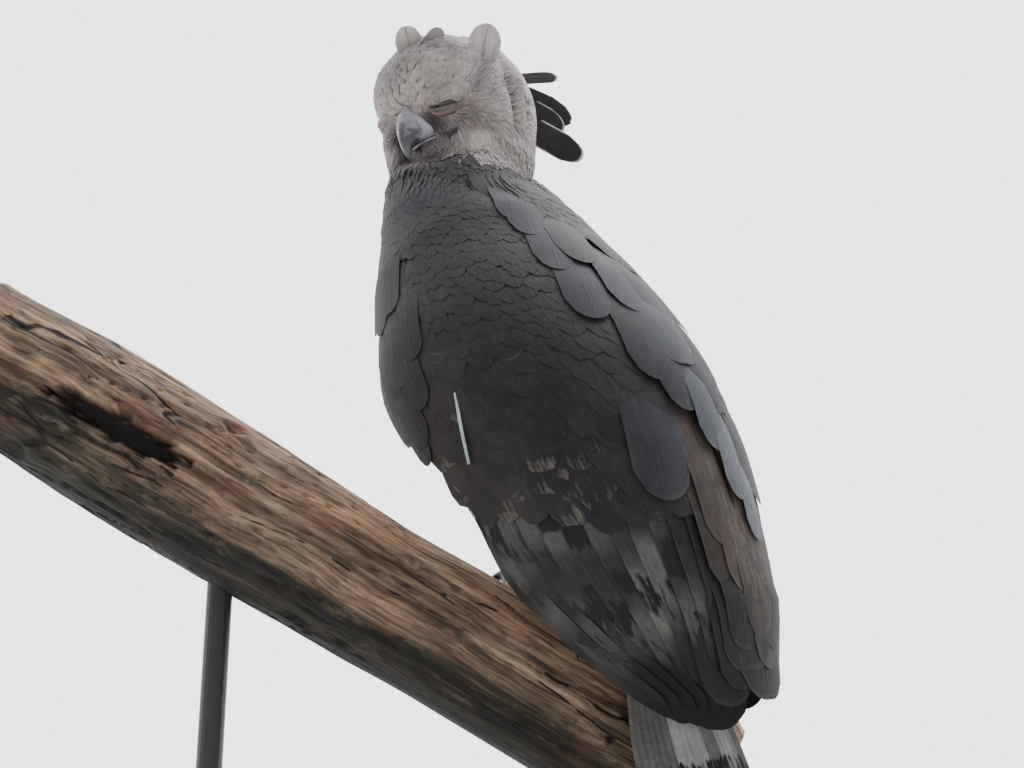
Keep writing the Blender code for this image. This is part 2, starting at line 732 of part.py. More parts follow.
def tube_along(path, radius, around, along, beside=NEAR):
    """A closed tube round path(v), of radius(v). The path never runs along beside."""

    def point(u, v):
        here = path(v)
        way = (path(min(v + 0.01, 1.0)) - path(max(v - 0.01, 0.0))).normalized()
        first = way.cross(beside).normalized()
        second = way.cross(first)
        turn = 2 * math.pi * u
        return here + (first * math.cos(turn) + second * math.sin(turn)) * radius(v)

    return tube_mesh(point, around, along)


def toe_mesh(foot, toe):
    _, length, thick, _ = TOES[toe]

    def radius(v):
        knuckles = 0.10 * math.sin(3 * math.pi * v) ** 2
        return thick * (1.0 - 0.22 * v - knuckles + 0.10)

    return tube_along(lambda v: toe_path(foot, toe, length * v, 0.82 * thick), radius, 6, 4, UPHILL)


def talon_mesh(foot, toe):
    """A curved claw that leaves the toe's end high and comes down on the bark."""
    _, length, thick, talon = TOES[toe]

    def path(v):
        arch = 0.95 * thick + 0.012 * math.sin(math.pi * min(v * 1.12, 1.0)) - 0.55 * thick * v
        return toe_path(foot, toe, length + 0.0005 + 0.78 * talon * v, arch)

    return tube_along(path, lambda v: max(0.0078 * (1.0 - v) ** 0.75, 0.0006), 6, 5, UPHILL)


def make_leg(parts, foot, finishes, torso, branch):
    """Thigh, shank, foot and talons, each a node of its own. Returns the nodes near the wing."""
    uphill, turn, _, hip_place = FEET[foot]
    hip = bird_to_world @ hip_place
    sole = branch_point(uphill, turn, BRANCH_RADIUS + 0.010)
    end = sole + (hip - sole) * 0.34
    thigh = object_from(
        tube_along(lambda v: hip + (end - hip) * v, lambda v: 0.046 - 0.024 * v**1.5, 12, 5),
        "thigh_" + foot, parts, finishes["coat"],
    )
    cut_clear(thigh, torso, branch)
    shank = object_from(
        tube_along(lambda v: end + (sole - end) * v + (end - sole) * 0.4 * (1 - v), lambda v: 0.0125, 12, 3),
        "shank_" + foot, parts, finishes["skin"],
    )
    pad = bmesh.new()
    bmesh.ops.create_uvsphere(pad, u_segments=8, v_segments=6, radius=PAD_RADIUS)
    transformed(pad, Matrix.Translation(sole))
    foot_node = object_from(pad, "foot_" + foot, parts, finishes["skin"])
    boolean(foot_node, "UNION", [object_from(toe_mesh(foot, toe), "toe", parts) for toe in TOES])
    cut_clear(shank, torso, thigh, foot_node, branch)
    cut_clear(foot_node, branch)
    for toe in TOES:
        talon = object_from(talon_mesh(foot, toe), f"talon_{foot}_{toe}", parts, finishes["horn"])
        cut_clear(talon, foot_node, branch)
    return thigh, shank


# Branch and stand

def make_branch(parts, finish):
    """A worn, barkless limb: nearly round, with long low swellings and a split on its near side."""
    length = BRANCH_UPHILL + BRANCH_DOWNHILL

    def point(u, v):
        turn = 2 * math.pi * u
        uphill = -BRANCH_DOWNHILL + length * v
        spot = branch_point(uphill * 0.35, turn, BRANCH_RADIUS)
        calm = smooth(0.08, 0.20, abs(uphill - 0.01))
        knob = noise.noise(spot * 9.0) * 0.008 + noise.noise(spot * 23.0) * 0.004
        radius = BRANCH_RADIUS + BRANCH_SWELL * smooth(0.10, 0.45, uphill) + knob * calm
        return branch_point(uphill, turn, radius - 0.004 * smooth(0.03, 0.0, min(v, 1 - v)))

    branch = object_from(tube_mesh(point, 16, 18), "perch_branch", parts, finish)
    split = bmesh.new()
    bmesh.ops.create_uvsphere(split, u_segments=10, v_segments=6, radius=1.0)
    out = OVER * math.cos(SPLIT_TURN) + NEAR * math.sin(SPLIT_TURN)
    middle = branch_point(SPLIT_UPHILL, SPLIT_TURN, BRANCH_RADIUS + BRANCH_SWELL)
    place = frame_matrix(middle, UPHILL, out, UPHILL.cross(out))
    transformed(split, place @ Matrix.Diagonal((*SPLIT_HALF_SIZES, 1.0)))
    boolean(branch, "DIFFERENCE", [object_from(split, "split", parts)])
    return branch


def make_stand(parts, finish, branch):
    base = bmesh.new()
    bmesh.ops.create_cube(base, size=1.0)
    transformed(base, Matrix.Translation((0, 0, BASE_THICK / 2)) @ Matrix.Diagonal((BASE_LENGTH, BASE_DEPTH, BASE_THICK, 1)))
    base = object_from(base, "stand_base", parts, finish)
    edge = base.modifiers.new("edge", "BEVEL")
    edge.width, edge.segments = 0.005, 3
    apply_modifiers(base)
    for number, x in enumerate(ROD_PLACES, 1):
        slope_z = BRANCH_MIDDLE.z + (BRANCH_MIDDLE.x - x) * math.tan(BRANCH_SLOPE)
        bottom, top = BASE_THICK + GAP, slope_z - 0.5 * BRANCH_RADIUS
        rod = bmesh.new()
        bmesh.ops.create_cone(
            rod, cap_ends=True, segments=20, radius1=ROD_RADIUS, radius2=ROD_RADIUS, depth=top - bottom
        )
        transformed(rod, Matrix.Translation((x, BRANCH_Y, (top + bottom) / 2)))
        rod = object_from(rod, f"stand_rod_{number}", parts, finish)
        cut_clear(rod, branch)


def main():
    cleared_scene()
    parts = collection("harpy_eagle")
    dark = material("slate feathers", (0.035, 0.036, 0.040), 0.6)
    grey = material("pale grey feathers", (0.36, 0.34, 0.33), 0.8)
    white = material("white barred feathers", (0.62, 0.60, 0.56), 0.8)
    horn = material("black horn", (0.02, 0.02, 0.022), 0.3)
    skin = material("yellow scaled skin", (0.42, 0.30, 0.07), 0.55)
    eye = material("brown eye", (0.05, 0.03, 0.02), 0.05)
    wood = material("weathered wood", (0.20, 0.12, 0.07), 0.85)
    iron = material("black painted steel", (0.03, 0.03, 0.03), 0.4, 0.0)

    torso = make_torso(parts, white)
    neck = make_neck(parts, dark)
    head = make_head(parts, grey)
    whole_head = grown(head)  # the wings keep clear of it as it was before it is cut
    open_lids(head, parts)
    eyes = [make_eye(parts, side, eye) for side in (1, -1)]
    upper, lower = make_bill(parts, horn)
    cut_clear(head, torso, neck, *eyes, upper, lower)
    branch = make_branch(parts, wood)
    finishes = {"coat": white, "skin": skin, "horn": horn}
    legs = [node for foot in FEET for node in make_leg(parts, foot, finishes, torso, branch)]
    tail = make_tail(parts, dark)
    cut_clear(tail, torso)
    for side in (1, -1):
        make_wing(parts, side, dark, torso, neck, whole_head, tail, branch, *legs)
    bpy.data.objects.remove(whole_head, do_unlink=True)
    make_stand(parts, iron, branch)
    for part in parts.objects:
        part.data.shade_smooth()
        part.data.set_sharp_from_angle(angle=math.radians(40.0))


main()
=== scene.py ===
# %% [markdown]
# # A harpy eagle on its branch
# The real thing is a large eagle seen from behind and below, looking back over its left shoulder. The
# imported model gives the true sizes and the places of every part. Here each part gets the surface that the
# eye sees: thousands of thin feather vanes, horn, skin, wood and painted metal.

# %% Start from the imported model
import math
import random

import bmesh
import bpy
import numpy as np
from mathutils import Matrix, Vector, noise
from mathutils.bvhtree import BVHTree


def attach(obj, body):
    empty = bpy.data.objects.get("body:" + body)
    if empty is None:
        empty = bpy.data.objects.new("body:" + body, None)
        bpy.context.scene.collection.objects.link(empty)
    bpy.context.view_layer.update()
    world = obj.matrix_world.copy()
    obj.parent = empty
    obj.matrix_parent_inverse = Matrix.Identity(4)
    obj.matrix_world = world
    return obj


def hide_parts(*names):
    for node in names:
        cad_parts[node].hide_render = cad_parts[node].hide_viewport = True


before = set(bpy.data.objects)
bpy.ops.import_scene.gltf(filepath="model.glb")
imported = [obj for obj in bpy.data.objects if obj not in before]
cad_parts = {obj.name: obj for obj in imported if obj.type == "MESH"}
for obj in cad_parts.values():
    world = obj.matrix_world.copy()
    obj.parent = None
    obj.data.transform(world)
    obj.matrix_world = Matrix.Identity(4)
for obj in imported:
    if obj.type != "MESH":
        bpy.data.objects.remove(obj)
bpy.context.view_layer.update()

# %% [markdown]
# ## Camera
# The photo was taken from the ground with a long lens, looking up by about 20 degrees. A camera is aimed
# with its rotation: 90 degrees about X looks level, and the rest is the look upwards. The focal length
# follows from how large the bird is in the picture at this distance.

# %% Camera
def shown(name, data):
    """A new object with that data, in the scene."""
    made = bpy.data.objects.new(name, data)
    bpy.context.scene.collection.objects.link(made)
    return made


LOOK_UP = math.radians(20.0)
AIM = Vector((0.085, 0.0, 0.574))
DISTANCE = 1.450
LENS_PIXELS = 1682.0  # focal length in pixels of a picture 1024 wide
camera = shown("camera", bpy.data.cameras.new("camera"))
camera.location = AIM - DISTANCE * Vector((0.0, math.cos(LOOK_UP), math.sin(LOOK_UP)))
camera.rotation_euler = (math.radians(90.0) + LOOK_UP, 0.0, 0.0)
camera.data.sensor_width = 36.0
camera.data.lens = LENS_PIXELS * 36.0 / 1024.0
bpy.context.scene.camera = camera
print("camera at", tuple(round(value, 3) for value in camera.location))

# %% [markdown]
# ## Small helpers
# Colours are written as the hex values a painter would pick on screen, and turned to the linear values
# that the shader needs. One function adds a shader node, sets it up and links it.

# %% Colour and node helpers
def linear(hex_colour):
    values = [int(hex_colour[i : i + 2], 16) / 255 for i in (1, 3, 5)]
    return tuple(v / 12.92 if v <= 0.04045 else ((v + 0.055) / 1.055) ** 2.4 for v in values)


def rgba(hex_colour):
    return (*linear(hex_colour), 1.0)


def plug(node, inputs):
    """Fills a node's inputs: each takes a value, or the output socket that it is linked to."""
    for name, value in inputs.items():
        if isinstance(value, bpy.types.NodeSocket):
            node.id_data.links.new(value, node.inputs[name])
        else:
            node.inputs[name].default_value = value


def add(tree, kind, inputs=None, out=0, **settings):
    """A new shader node with its inputs and settings. Gives one of its outputs, or all of them."""
    made = tree.nodes.new("ShaderNode" + kind)
    for name, value in settings.items():
        if name != "stops":
            setattr(made, name, value)
            continue
        while len(made.color_ramp.elements) < len(value):
            made.color_ramp.elements.new(0.5)
        for element, (position, colour) in zip(made.color_ramp.elements, value):
            element.position, element.color = position, rgba(colour)
    plug(made, inputs or {})
    return made.outputs if out == "all" else made.outputs[out]


def new_material(name):
    """A material with an empty Principled shader: returns it, its tree and the shader."""
    made = bpy.data.materials.new(name)
    made.use_nodes = True
    return made, made.node_tree, made.node_tree.nodes["Principled BSDF"]


# %% [markdown]
# ## The bird's own directions
# The bird leans forward and sits turned away from the viewer, so it is easier to build in its own frame:
# x towards the breast, y to its left and z up along the back, from the root of the tail. The head has
# another frame, with x along the bill.

# %% Frames of the bird and of its head
TAIL_ROOT = Vector((0.180, -0.012, 0.428))
FACING = math.radians(47.0)
LEAN_FORWARD = math.radians(21.0)
LEAN_LEFT = math.radians(10.0)
HEAD_CENTRE = Vector((0.0175, 0.030, 0.870))
HEAD_TURN = math.radians(50.0)
HEAD_DOWN = math.radians(34.0)


def frame_matrix(origin, x, y, z):
    return Matrix.Translation(origin) @ Matrix((x, y, z)).transposed().to_4x4()


def bird_frame():
    forward = Vector((-math.sin(FACING), math.cos(FACING), 0.0))
    left = Vector((-math.cos(FACING), -math.sin(FACING), 0.0))
    up = Vector((0.0, 0.0, 1.0)) + math.tan(LEAN_FORWARD) * forward + math.tan(LEAN_LEFT) * left
    up.normalize()
    breast = (forward - forward.dot(up) * up).normalized()
    return frame_matrix(TAIL_ROOT, breast, up.cross(breast), up)


def head_frame():
    level = Vector((-math.sin(HEAD_TURN), -math.cos(HEAD_TURN), 0.0))
    front = math.cos(HEAD_DOWN) * level - math.sin(HEAD_DOWN) * Vector((0.0, 0.0, 1.0))
    side = Vector((0.0, 0.0, 1.0)).cross(front).normalized()
    return frame_matrix(HEAD_CENTRE, front, side, front.cross(side))


bird_to_world = bird_frame()
head_to_world = head_frame()
print("the back points to", tuple(round(value, 2) for value in bird_to_world.col[2][:3]))


def moved(points, matrix):
    """An array of points, moved by a matrix."""
    turn = np.array(matrix.to_3x3())
    return points @ turn.T + np.array(matrix.translation)


def turned(directions, matrix):
    return directions @ np.array(matrix.to_3x3()).T


# %% [markdown]
# ## Rings round the body
# A perched bird is a rounded spindle. A few rings along its back say how wide and deep it is, and a
# smooth curve runs through them. One table is the torso, and the other is the shape that the folded wings
# wrap round it.

# %% Ring tables
TORSO_RINGS = (
    (-0.060, 0.030, 0.022, -0.018),
    (-0.020, 0.056, 0.050, -0.010),
    (0.030, 0.082, 0.080, -0.004),
    (0.100, 0.104, 0.102, 0.002),
    (0.180, 0.110, 0.104, 0.014),
    (0.260, 0.098, 0.090, 0.018),
    (0.330, 0.078, 0.071, 0.013),
    (0.378, 0.068, 0.062, 0.007),
)
WING_RINGS = (
    (-0.205, 0.030, 0.022, -0.028),
    (-0.190, 0.035, 0.027, -0.028),
    (-0.150, 0.048, 0.040, -0.024),
    (-0.100, 0.078, 0.068, -0.020),
    (0.000, 0.118, 0.107, -0.004),
    (0.100, 0.134, 0.122, 0.000),
    (0.200, 0.136, 0.123, 0.016),
    (0.300, 0.107, 0.096, 0.016),
    (0.350, 0.088, 0.079, 0.011),
    (0.380, 0.078, 0.070, 0.007),
)
WING_EDGES = (
    (-0.130, 3.0, 112.0),
    (-0.080, 3.0, 126.0),
    (0.000, 3.0, 130.0),
    (0.120, 3.0, 136.0),
    (0.260, 3.0, 130.0),
    (0.376, 6.0, 112.0),
)
HOOD_RINGS = (
    (0.785, 0.067, 0.054, 0.037, 0.044),
    (0.805, 0.071, 0.057, 0.038, 0.045),
    (0.835, 0.072, 0.060, 0.039, 0.045),
    (0.868, 0.070, 0.060, 0.039, 0.044),
    (0.895, 0.060, 0.054, 0.038, 0.042),
    (0.918, 0.042, 0.040, 0.036, 0.040),
    (0.930, 0.020, 0.020, 0.034, 0.038),
)


print("the torso is", 2 * max(row[1] for row in TORSO_RINGS), "m wide")


# %% Curves through the tables
def through(rows, at):
    """Catmull-Rom through rows whose first value is the place: the other values at that place."""
    places = [row[0] for row in rows]
    at = min(max(at, places[0]), places[-1])
    i = max(k for k in range(len(rows) - 1) if places[k] <= at)
    before, low, high, after = (
        Vector(rows[min(max(k, 0), len(rows) - 1)][1:]) for k in (i - 1, i, i + 1, i + 2)
    )
    t = (at - places[i]) / (places[i + 1] - places[i])
    bend_low, bend_high = (high - before) / 2, (after - low) / 2
    return (
        low * (2 * t**3 - 3 * t**2 + 1)
        + bend_low * (t**3 - 2 * t**2 + t)
        + high * (3 * t**2 - 2 * t**3)
        + bend_high * (t**3 - t**2)
    )


def sampled(rows, steps=300):
    places = np.linspace(rows[0][0], rows[-1][0], steps)
    return places, np.array([tuple(through(rows, place)) for place in places])


def look_up(curve, at):
    places, values = curve
    return [np.interp(at, places, values[:, k]) for k in range(values.shape[1])]


def smooth(low, high, value):
    """A soft step from 0 at low to 1 at high, for numbers and arrays."""
    t = np.clip((value - low) / (high - low), 0.0, 1.0)
    return t * t * (3 - 2 * t)


torso_curve, wing_curve, edge_curve = sampled(TORSO_RINGS), sampled(WING_RINGS), sampled(WING_EDGES)


def ring_points(curve, height, angle, lift=0.0):
    """Points of a ring table in the bird's frame. The angle is 0 at the back and grows to its left."""
    width, depth, shift = look_up(curve, height)
    x, y = shift - (depth + lift) * np.cos(angle), (width + lift) * np.sin(angle)
    return np.stack([x, y, height + 0 * angle], axis=-1)


# %% [markdown]
# ## One skin under the feathers
# Feathers need something to grow from. The skin is made from a few overlapping closed forms, a tube for
# the body, one for the neck, the skull and the thighs, and a voxel remesh melts them into one surface
# with no seam. It lies a few millimetres inside the solids, by the depth of the coat.

# %% Forms of the skull and hood
HEAD_LENGTH, HEAD_WIDTH, HEAD_HEIGHT = 0.058, 0.062, 0.060
HEAD_BUMPS = (  # towards, spread in radians, share of the radius
    ((-0.50, 0.70, -0.30), 0.90, 0.16),
    ((0.15, 0.95, -0.35), 0.70, 0.06),
    ((-0.85, 0.00, 0.30), 0.90, 0.12),
    ((0.72, 0.50, 0.34), 0.42, 0.04),
    ((1.00, 0.00, -0.25), 0.70, -0.12),
    ((0.62, 0.52, -0.58), 0.45, -0.08),
    ((0.70, 0.00, -0.75), 0.50, -0.06),
)
FAR_PUFF = (0.62, -0.66, -0.40), 0.60, 0.11  # the right cheek is fluffed out beside the bill
FACE_RECESS = 0.075
HOOD_NOTCH = 0.64
HOOD_NOTCH_ANGLES = (math.radians(62.0), math.radians(12.0))
FAR_CHEEK = 0.34  # the notch is narrower on the right, where the cheek shows beside the bill
HOOD_NOTCH_HEIGHTS = (0.785, 0.815)
HOOD_FLUFF, HOOD_FLUFF_HEIGHTS = 0.0075, (0.800, 0.832)  # the hood's fluffed side, away from the viewer


def bump(direction, towards, spread):
    angle = direction.angle(Vector(towards), math.pi)
    return float(smooth(spread, 0.0, angle)) if angle < spread else 0.0


def head_point(direction):
    """The head's surface in the given direction from its centre, in the head's frame."""
    base = Vector((direction.x * HEAD_LENGTH, direction.y * HEAD_WIDTH, direction.z * HEAD_HEIGHT))
    mirrored = Vector((direction.x, abs(direction.y), direction.z))
    brow_line = -0.06 + 0.34 * smooth(0.45, -0.10, direction.x)
    under_brow = smooth(brow_line + 0.05, brow_line - 0.05, direction.z)
    under_brow *= smooth(-0.35, 0.10, direction.x) * smooth(-0.95, -0.60, direction.z)
    swelling = sum(share * bump(mirrored, way, spread) for way, spread, share in HEAD_BUMPS)
    swelling += FAR_PUFF[2] * bump(direction, *FAR_PUFF[:2])
    return base * (1.0 + swelling - FACE_RECESS * float(under_brow))


def hood_point(u, v):
    height = HOOD_RINGS[0][0] + (HOOD_RINGS[-1][0] - HOOD_RINGS[0][0]) * v
    wide, deep, x, y = through(HOOD_RINGS, height)
    turn = 2 * math.pi * u
    off_bill = math.acos(-math.cos(turn) * math.sin(HEAD_TURN) - math.sin(turn) * math.cos(HEAD_TURN))
    far = math.cos(turn) * math.cos(HEAD_TURN) - math.sin(turn) * math.sin(HEAD_TURN) < 0.0
    off_bill /= FAR_CHEEK if far else 1.0
    notch = HOOD_NOTCH * smooth(*HOOD_NOTCH_ANGLES, off_bill) * smooth(*HOOD_NOTCH_HEIGHTS, height)
    fluff = HOOD_FLUFF * smooth(0.0, -0.6, math.cos(turn + HEAD_TURN)) * smooth(*HOOD_FLUFF_HEIGHTS, height)
    wide, deep = wide * (1 - notch) + fluff, deep * (1 - notch) + fluff
    return Vector((x + wide * math.cos(turn), y + deep * math.sin(turn), height))


# %% [markdown]
# A closed form could be carved by hand, but a rule is easier to correct: a grid is rolled into a tube, or
# a ball is made, and a function says where each of its points goes.

# %% Helpers that shape closed forms
def closed(bm):
    """Merges the edges that meet, caps the open ends and turns the faces outwards."""
    bmesh.ops.remove_doubles(bm, verts=bm.verts, dist=1e-6)
    rims = [edge for edge in bm.edges if edge.is_boundary]
    if rims:
        bmesh.ops.holes_fill(bm, edges=rims, sides=0)
    bmesh.ops.recalc_face_normals(bm, faces=bm.faces)
    return bm


def tube(point, around, along):
    """A bmesh tube on point(u, v), closed round u and capped at both ends of v."""
    bm = bmesh.new()
    bmesh.ops.create_grid(bm, x_segments=around, y_segments=along, size=0.5)
    for vertex in bm.verts:
        vertex.co = point(vertex.co.x + 0.5, vertex.co.y + 0.5)
    return closed(bm)


def ball(point, around=48, along=32):
    """A bmesh ball whose points are moved to point(direction)."""
    bm = bmesh.new()
    bmesh.ops.create_uvsphere(bm, u_segments=around, v_segments=along, radius=1.0)
    for vertex in bm.verts:
        vertex.co = point(vertex.co.normalized())
    return bm


def mesh_of(bm, name):
    mesh = bpy.data.meshes.new(name)
    bm.to_mesh(mesh)
    bm.free()
    return mesh


def join(whole, bm):
    """Adds a bmesh to another one."""
    mesh = mesh_of(bm, "part")
    whole.from_mesh(mesh)
    bpy.data.meshes.remove(mesh)


def piece(bm, name, material=None):
    """Turns a bmesh into an object that rides on the model's one body."""
    made = shown(name, mesh_of(bm, name))
    if material:
        made.data.materials.append(material)
    made.data.shade_smooth()
    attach(made, "root")
    return made


def shifted(bm, matrix):
    bmesh.ops.transform(bm, matrix=matrix, verts=bm.verts)
    return bm


def applied(obj):
    """Bakes the object's modifiers into its mesh."""
    graph = bpy.context.evaluated_depsgraph_get()
    mesh = bpy.data.meshes.new_from_object(obj.evaluated_get(graph))
    obj.modifiers.clear()
    obj.data = mesh
    return obj


# %% [markdown]
# What makes the face a face is a few folds: the brow over the eye, the groove beside the bill, the rim of
# the disc, the line of the mouth. They are pressed into the skin along lines, the same on both sides.

# %% The eye's place and the folds
EYE_PLACE = Vector((0.0310, 0.0345, -0.0098))
EYE_RADIUS = 0.0115
EYE_SLIT_WAY = Vector((-0.76, 0.63, -0.16)).normalized()
BROW_RISE, BROW_OUT = 0.0060, 0.0088
BROW_HALF_SIZES = (0.0275, 0.0074, 0.0078)
FOLDS = (  # line on the left side of the head, how far it stands out, how wide it is
    (((0.045, 0.017, -0.006), (0.037, 0.035, -0.007), (0.024, 0.049, -0.012)), 0.0022, 0.0040),
    (((0.044, 0.022, -0.020), (0.033, 0.037, -0.021), (0.022, 0.050, -0.020)), -0.0030, 0.0050),
    (((0.021, 0.050, -0.014), (0.009, 0.057, -0.009), (-0.008, 0.060, 0.004), (-0.024, 0.051, 0.022)),
     -0.0046, 0.0050),
    (((0.016, 0.052, 0.014), (0.008, 0.050, 0.028), (0.010, 0.040, 0.041), (0.018, 0.025, 0.048)),
     0.0034, 0.0070),
    (((0.030, 0.047, -0.004), (0.030, 0.040, 0.024), (0.034, 0.022, 0.040), (0.040, 0.000, 0.040)),
     0.0030, 0.0100),
    (((-0.002, 0.057, 0.018), (-0.010, 0.058, 0.008), (-0.014, 0.059, 0.002)), 0.0024, 0.0060),
    (((-0.036, 0.057, 0.007), (-0.027, 0.062, -0.014), (-0.021, 0.064, -0.033), (-0.013, 0.064, -0.052),
      (0.000, 0.062, -0.072)), -0.0052, 0.0036),
    (((-0.046, 0.056, -0.006), (-0.036, 0.061, -0.028), (-0.024, 0.063, -0.052), (-0.016, 0.062, -0.070)),
     0.0036, 0.0048),
    (((-0.048, 0.058, -0.032), (-0.030, 0.063, -0.050), (-0.026, 0.060, -0.070)), -0.0036, 0.0034),
    (((-0.008, 0.060, -0.002), (-0.011, 0.062, -0.029), (-0.003, 0.062, -0.055), (0.016, 0.060, -0.072)),
     0.0018, 0.0060),
    (((0.046, 0.034, -0.034), (0.036, 0.044, -0.034), (0.024, 0.052, -0.036)), 0.0016, 0.0055),
    (((0.040, 0.010, -0.036), (0.033, 0.018, -0.0365), (0.0327, 0.0256, -0.0372),
      (0.0344, 0.0345, -0.0382)), -0.0030, 0.0026),
    (((0.062, 0.018, -0.0435), (0.055, 0.030, -0.0440), (0.046, 0.037, -0.0425)), 0.0016, 0.0030),
    (((0.066, 0.014, -0.050), (0.060, 0.026, -0.052), (0.050, 0.042, -0.056)), -0.0030, 0.0070),
)

print(len(FOLDS), "folds on each side of the head")

# %% [markdown]
# The bird stands across the slope of its branch. The branch gets its own directions, uphill, over and
# near, and each foot a place on it, since the thighs lead there.

# %% Branch and feet
FEET = {  # uphill place, turn, and the hip in the bird's frame
    "left": (0.034, math.radians(8.0), Vector((0.030, 0.046, 0.070))),
    "right": (-0.056, math.radians(2.0), Vector((0.030, -0.044, 0.060))),
}
BRANCH_RADIUS = 0.061
SOLE = 0.010  # height of the middle of a foot over the bark
BRANCH_SLOPE = math.radians(30.8)
BRANCH_MIDDLE = Vector((0.116, 0.050, 0.3155))
UPHILL = Vector((-math.cos(BRANCH_SLOPE), 0.0, math.sin(BRANCH_SLOPE)))
OVER = Vector((math.sin(BRANCH_SLOPE), 0.0, math.cos(BRANCH_SLOPE)))
NEAR = Vector((0.0, -1.0, 0.0))


def branch_point(uphill, turn, radius):
    return BRANCH_MIDDLE + UPHILL * uphill + (OVER * math.cos(turn) + NEAR * math.sin(turn)) * radius


print("the branch is", 2 * BRANCH_RADIUS, "m thick")

# %% [markdown]
# Torso, neck and thighs are tubes that reach into each other. The folded arms fill the torso out under the
# wings, and each thigh runs from the hip towards its foot.

# %% Torso, neck and thighs
COAT_DEPTH = 0.0065
HEAD_COAT_DEPTH = 0.0022


def body_point(u, v):
    """The torso with the folded arms beside it, less the coat's depth."""
    height = -0.060 + 0.440 * v
    angle = 2 * math.pi * u
    plain = ring_points(torso_curve, np.float64(height), np.float64(angle), -COAT_DEPTH)
    winged = ring_points(wing_curve, np.float64(height), np.float64(angle), -COAT_DEPTH - 0.005)
    off_back = abs(math.degrees(angle) - 360.0 * (angle > math.pi))
    front = look_up(edge_curve, height)[1]
    share = smooth(front + 2.0, front - 14.0, off_back) * smooth(-0.075, 0.030, height)
    return Vector(plain * (1 - share) + winged * share)


def neck_point(u, v):
    """From inside the top of the torso up into the hood."""
    low, high = bird_to_world @ Vector((0.008, 0.0, 0.350)), Vector((0.039, 0.048, 0.800))
    turn = 2 * math.pi * u
    middle = low.lerp(high, v)
    return middle + Vector((0.060 * math.cos(turn), 0.052 * math.sin(turn), 0.0)) * (1.0 - 0.30 * v**2)


def hood_skin(u, v):
    """The hood, drawn in towards its middle by the depth of its coat."""
    spot = hood_point(u, v)
    return spot.lerp(Vector((0.038, 0.045, spot.z)), 0.055)


def thigh_tube(foot):
    uphill, turn, hip_place = FEET[foot]
    hip = bird_to_world @ hip_place
    sole = branch_point(uphill, turn, BRANCH_RADIUS + SOLE)
    end = sole + (hip - sole) * 0.36
    way = (end - hip).normalized()
    first = way.cross(NEAR).normalized()

    def point(u, v):
        turn = 2 * math.pi * u
        side = first * math.cos(turn) + way.cross(first) * math.sin(turn)
        return hip.lerp(end, v) + side * (0.041 - 0.024 * v**1.5)

    return tube(point, 24, 10)


def eye_frame(side):
    """Frame of an eye, in the head's: x along the slit of its lids, y up, z outwards."""
    way = side * Vector((EYE_SLIT_WAY.x, side * EYE_SLIT_WAY.y, EYE_SLIT_WAY.z))
    up = (Vector((0.0, 0.0, 1.0)) - way.z * way).normalized()
    place = Vector((EYE_PLACE.x, side * EYE_PLACE.y, EYE_PLACE.z))
    return frame_matrix(place, way, up, way.cross(up))


def brow(side):
    """The bony ridge that overhangs the eye of a bird of prey."""
    place = head_to_world @ eye_frame(side) @ Matrix.Translation((0.0, BROW_RISE, BROW_OUT))
    return shifted(ball(lambda way: way * Vector(BROW_HALF_SIZES)), place)


# %% Melting the forms into one skin
SKIN_VOXEL = 0.0027
forms = [
    brow(1),
    brow(-1),
    shifted(tube(body_point, 96, 48), bird_to_world),
    tube(neck_point, 32, 8),
    tube(hood_skin, 64, 24),
    shifted(ball(lambda way: head_point(way) * (1.0 - HEAD_COAT_DEPTH / 0.06)), head_to_world),
    thigh_tube("left"),
    thigh_tube("right"),
]
skin_bm = bmesh.new()
for form in forms:
    join(skin_bm, form)
skin = piece(skin_bm, "skin")
melt = skin.modifiers.new("melt", "REMESH")
melt.mode, melt.voxel_size = "VOXEL", SKIN_VOXEL
ease = skin.modifiers.new("ease", "SMOOTH")
ease.factor, ease.iterations = 0.5, 5
applied(skin)
skin.data.shade_smooth()
print("skin faces", len(skin.data.polygons))


# %% [markdown]
# A fold moves each point of the skin along its normal, by a bell curve of its distance from the fold's
# line.

# %% Pressing in the folds
def in_frame(points, matrix):
    """World points in a frame."""
    return (points - np.array(matrix.translation)) @ np.array(matrix.to_3x3())


def points_of(mesh):
    points = np.empty(len(mesh.vertices) * 3)
    mesh.vertices.foreach_get("co", points)
    return points.reshape(-1, 3)


def along_line(corners, steps):
    """Evenly spread points on a line through the corners."""
    share, at = np.linspace(0.0, 1.0, steps), np.linspace(0.0, 1.0, len(corners))
    return np.stack([np.interp(share, at, [corner[k] for corner in corners]) for k in range(3)], axis=1)


def at_bill(local):
    """How far points of the head's frame lie within the bill, from 0 to 1."""
    beside = smooth(0.022, 0.013, np.abs(local[..., 1]))
    upright = smooth(-0.045, -0.038, local[..., 2]) * smooth(0.006, -0.002, local[..., 2])
    return beside * upright * smooth(0.047, 0.055, local[..., 0])


def fold(points, normals):
    """Presses the folds of the face into the skin, the same on both sides, and makes room for the bill."""
    local = in_frame(points, head_to_world)
    local[:, 1] = np.abs(local[:, 1])
    moves = -0.010 * at_bill(local)
    for line, height, width in FOLDS:
        share = np.linspace(0.0, 1.0, 24)
        ends = np.minimum(smooth(0.0, 0.25, share), smooth(1.0, 0.75, share))
        distance = np.linalg.norm(local[:, None] - along_line(line, 24)[None], axis=2)
        moves += height * (np.exp(-((distance / width) ** 2)) * ends).max(axis=1)
    return points + normals * moves[:, None]


skin_normals = np.array([tuple(vertex.normal) for vertex in skin.data.vertices])
skin_points = fold(points_of(skin.data), skin_normals)
skin.data.vertices.foreach_set("co", skin_points.ravel())
skin.data.update()
skin_tree = BVHTree.FromObject(skin, bpy.context.evaluated_depsgraph_get())
print("the skin reaches up to", round(float(skin_points[:, 2].max()), 3), "m")

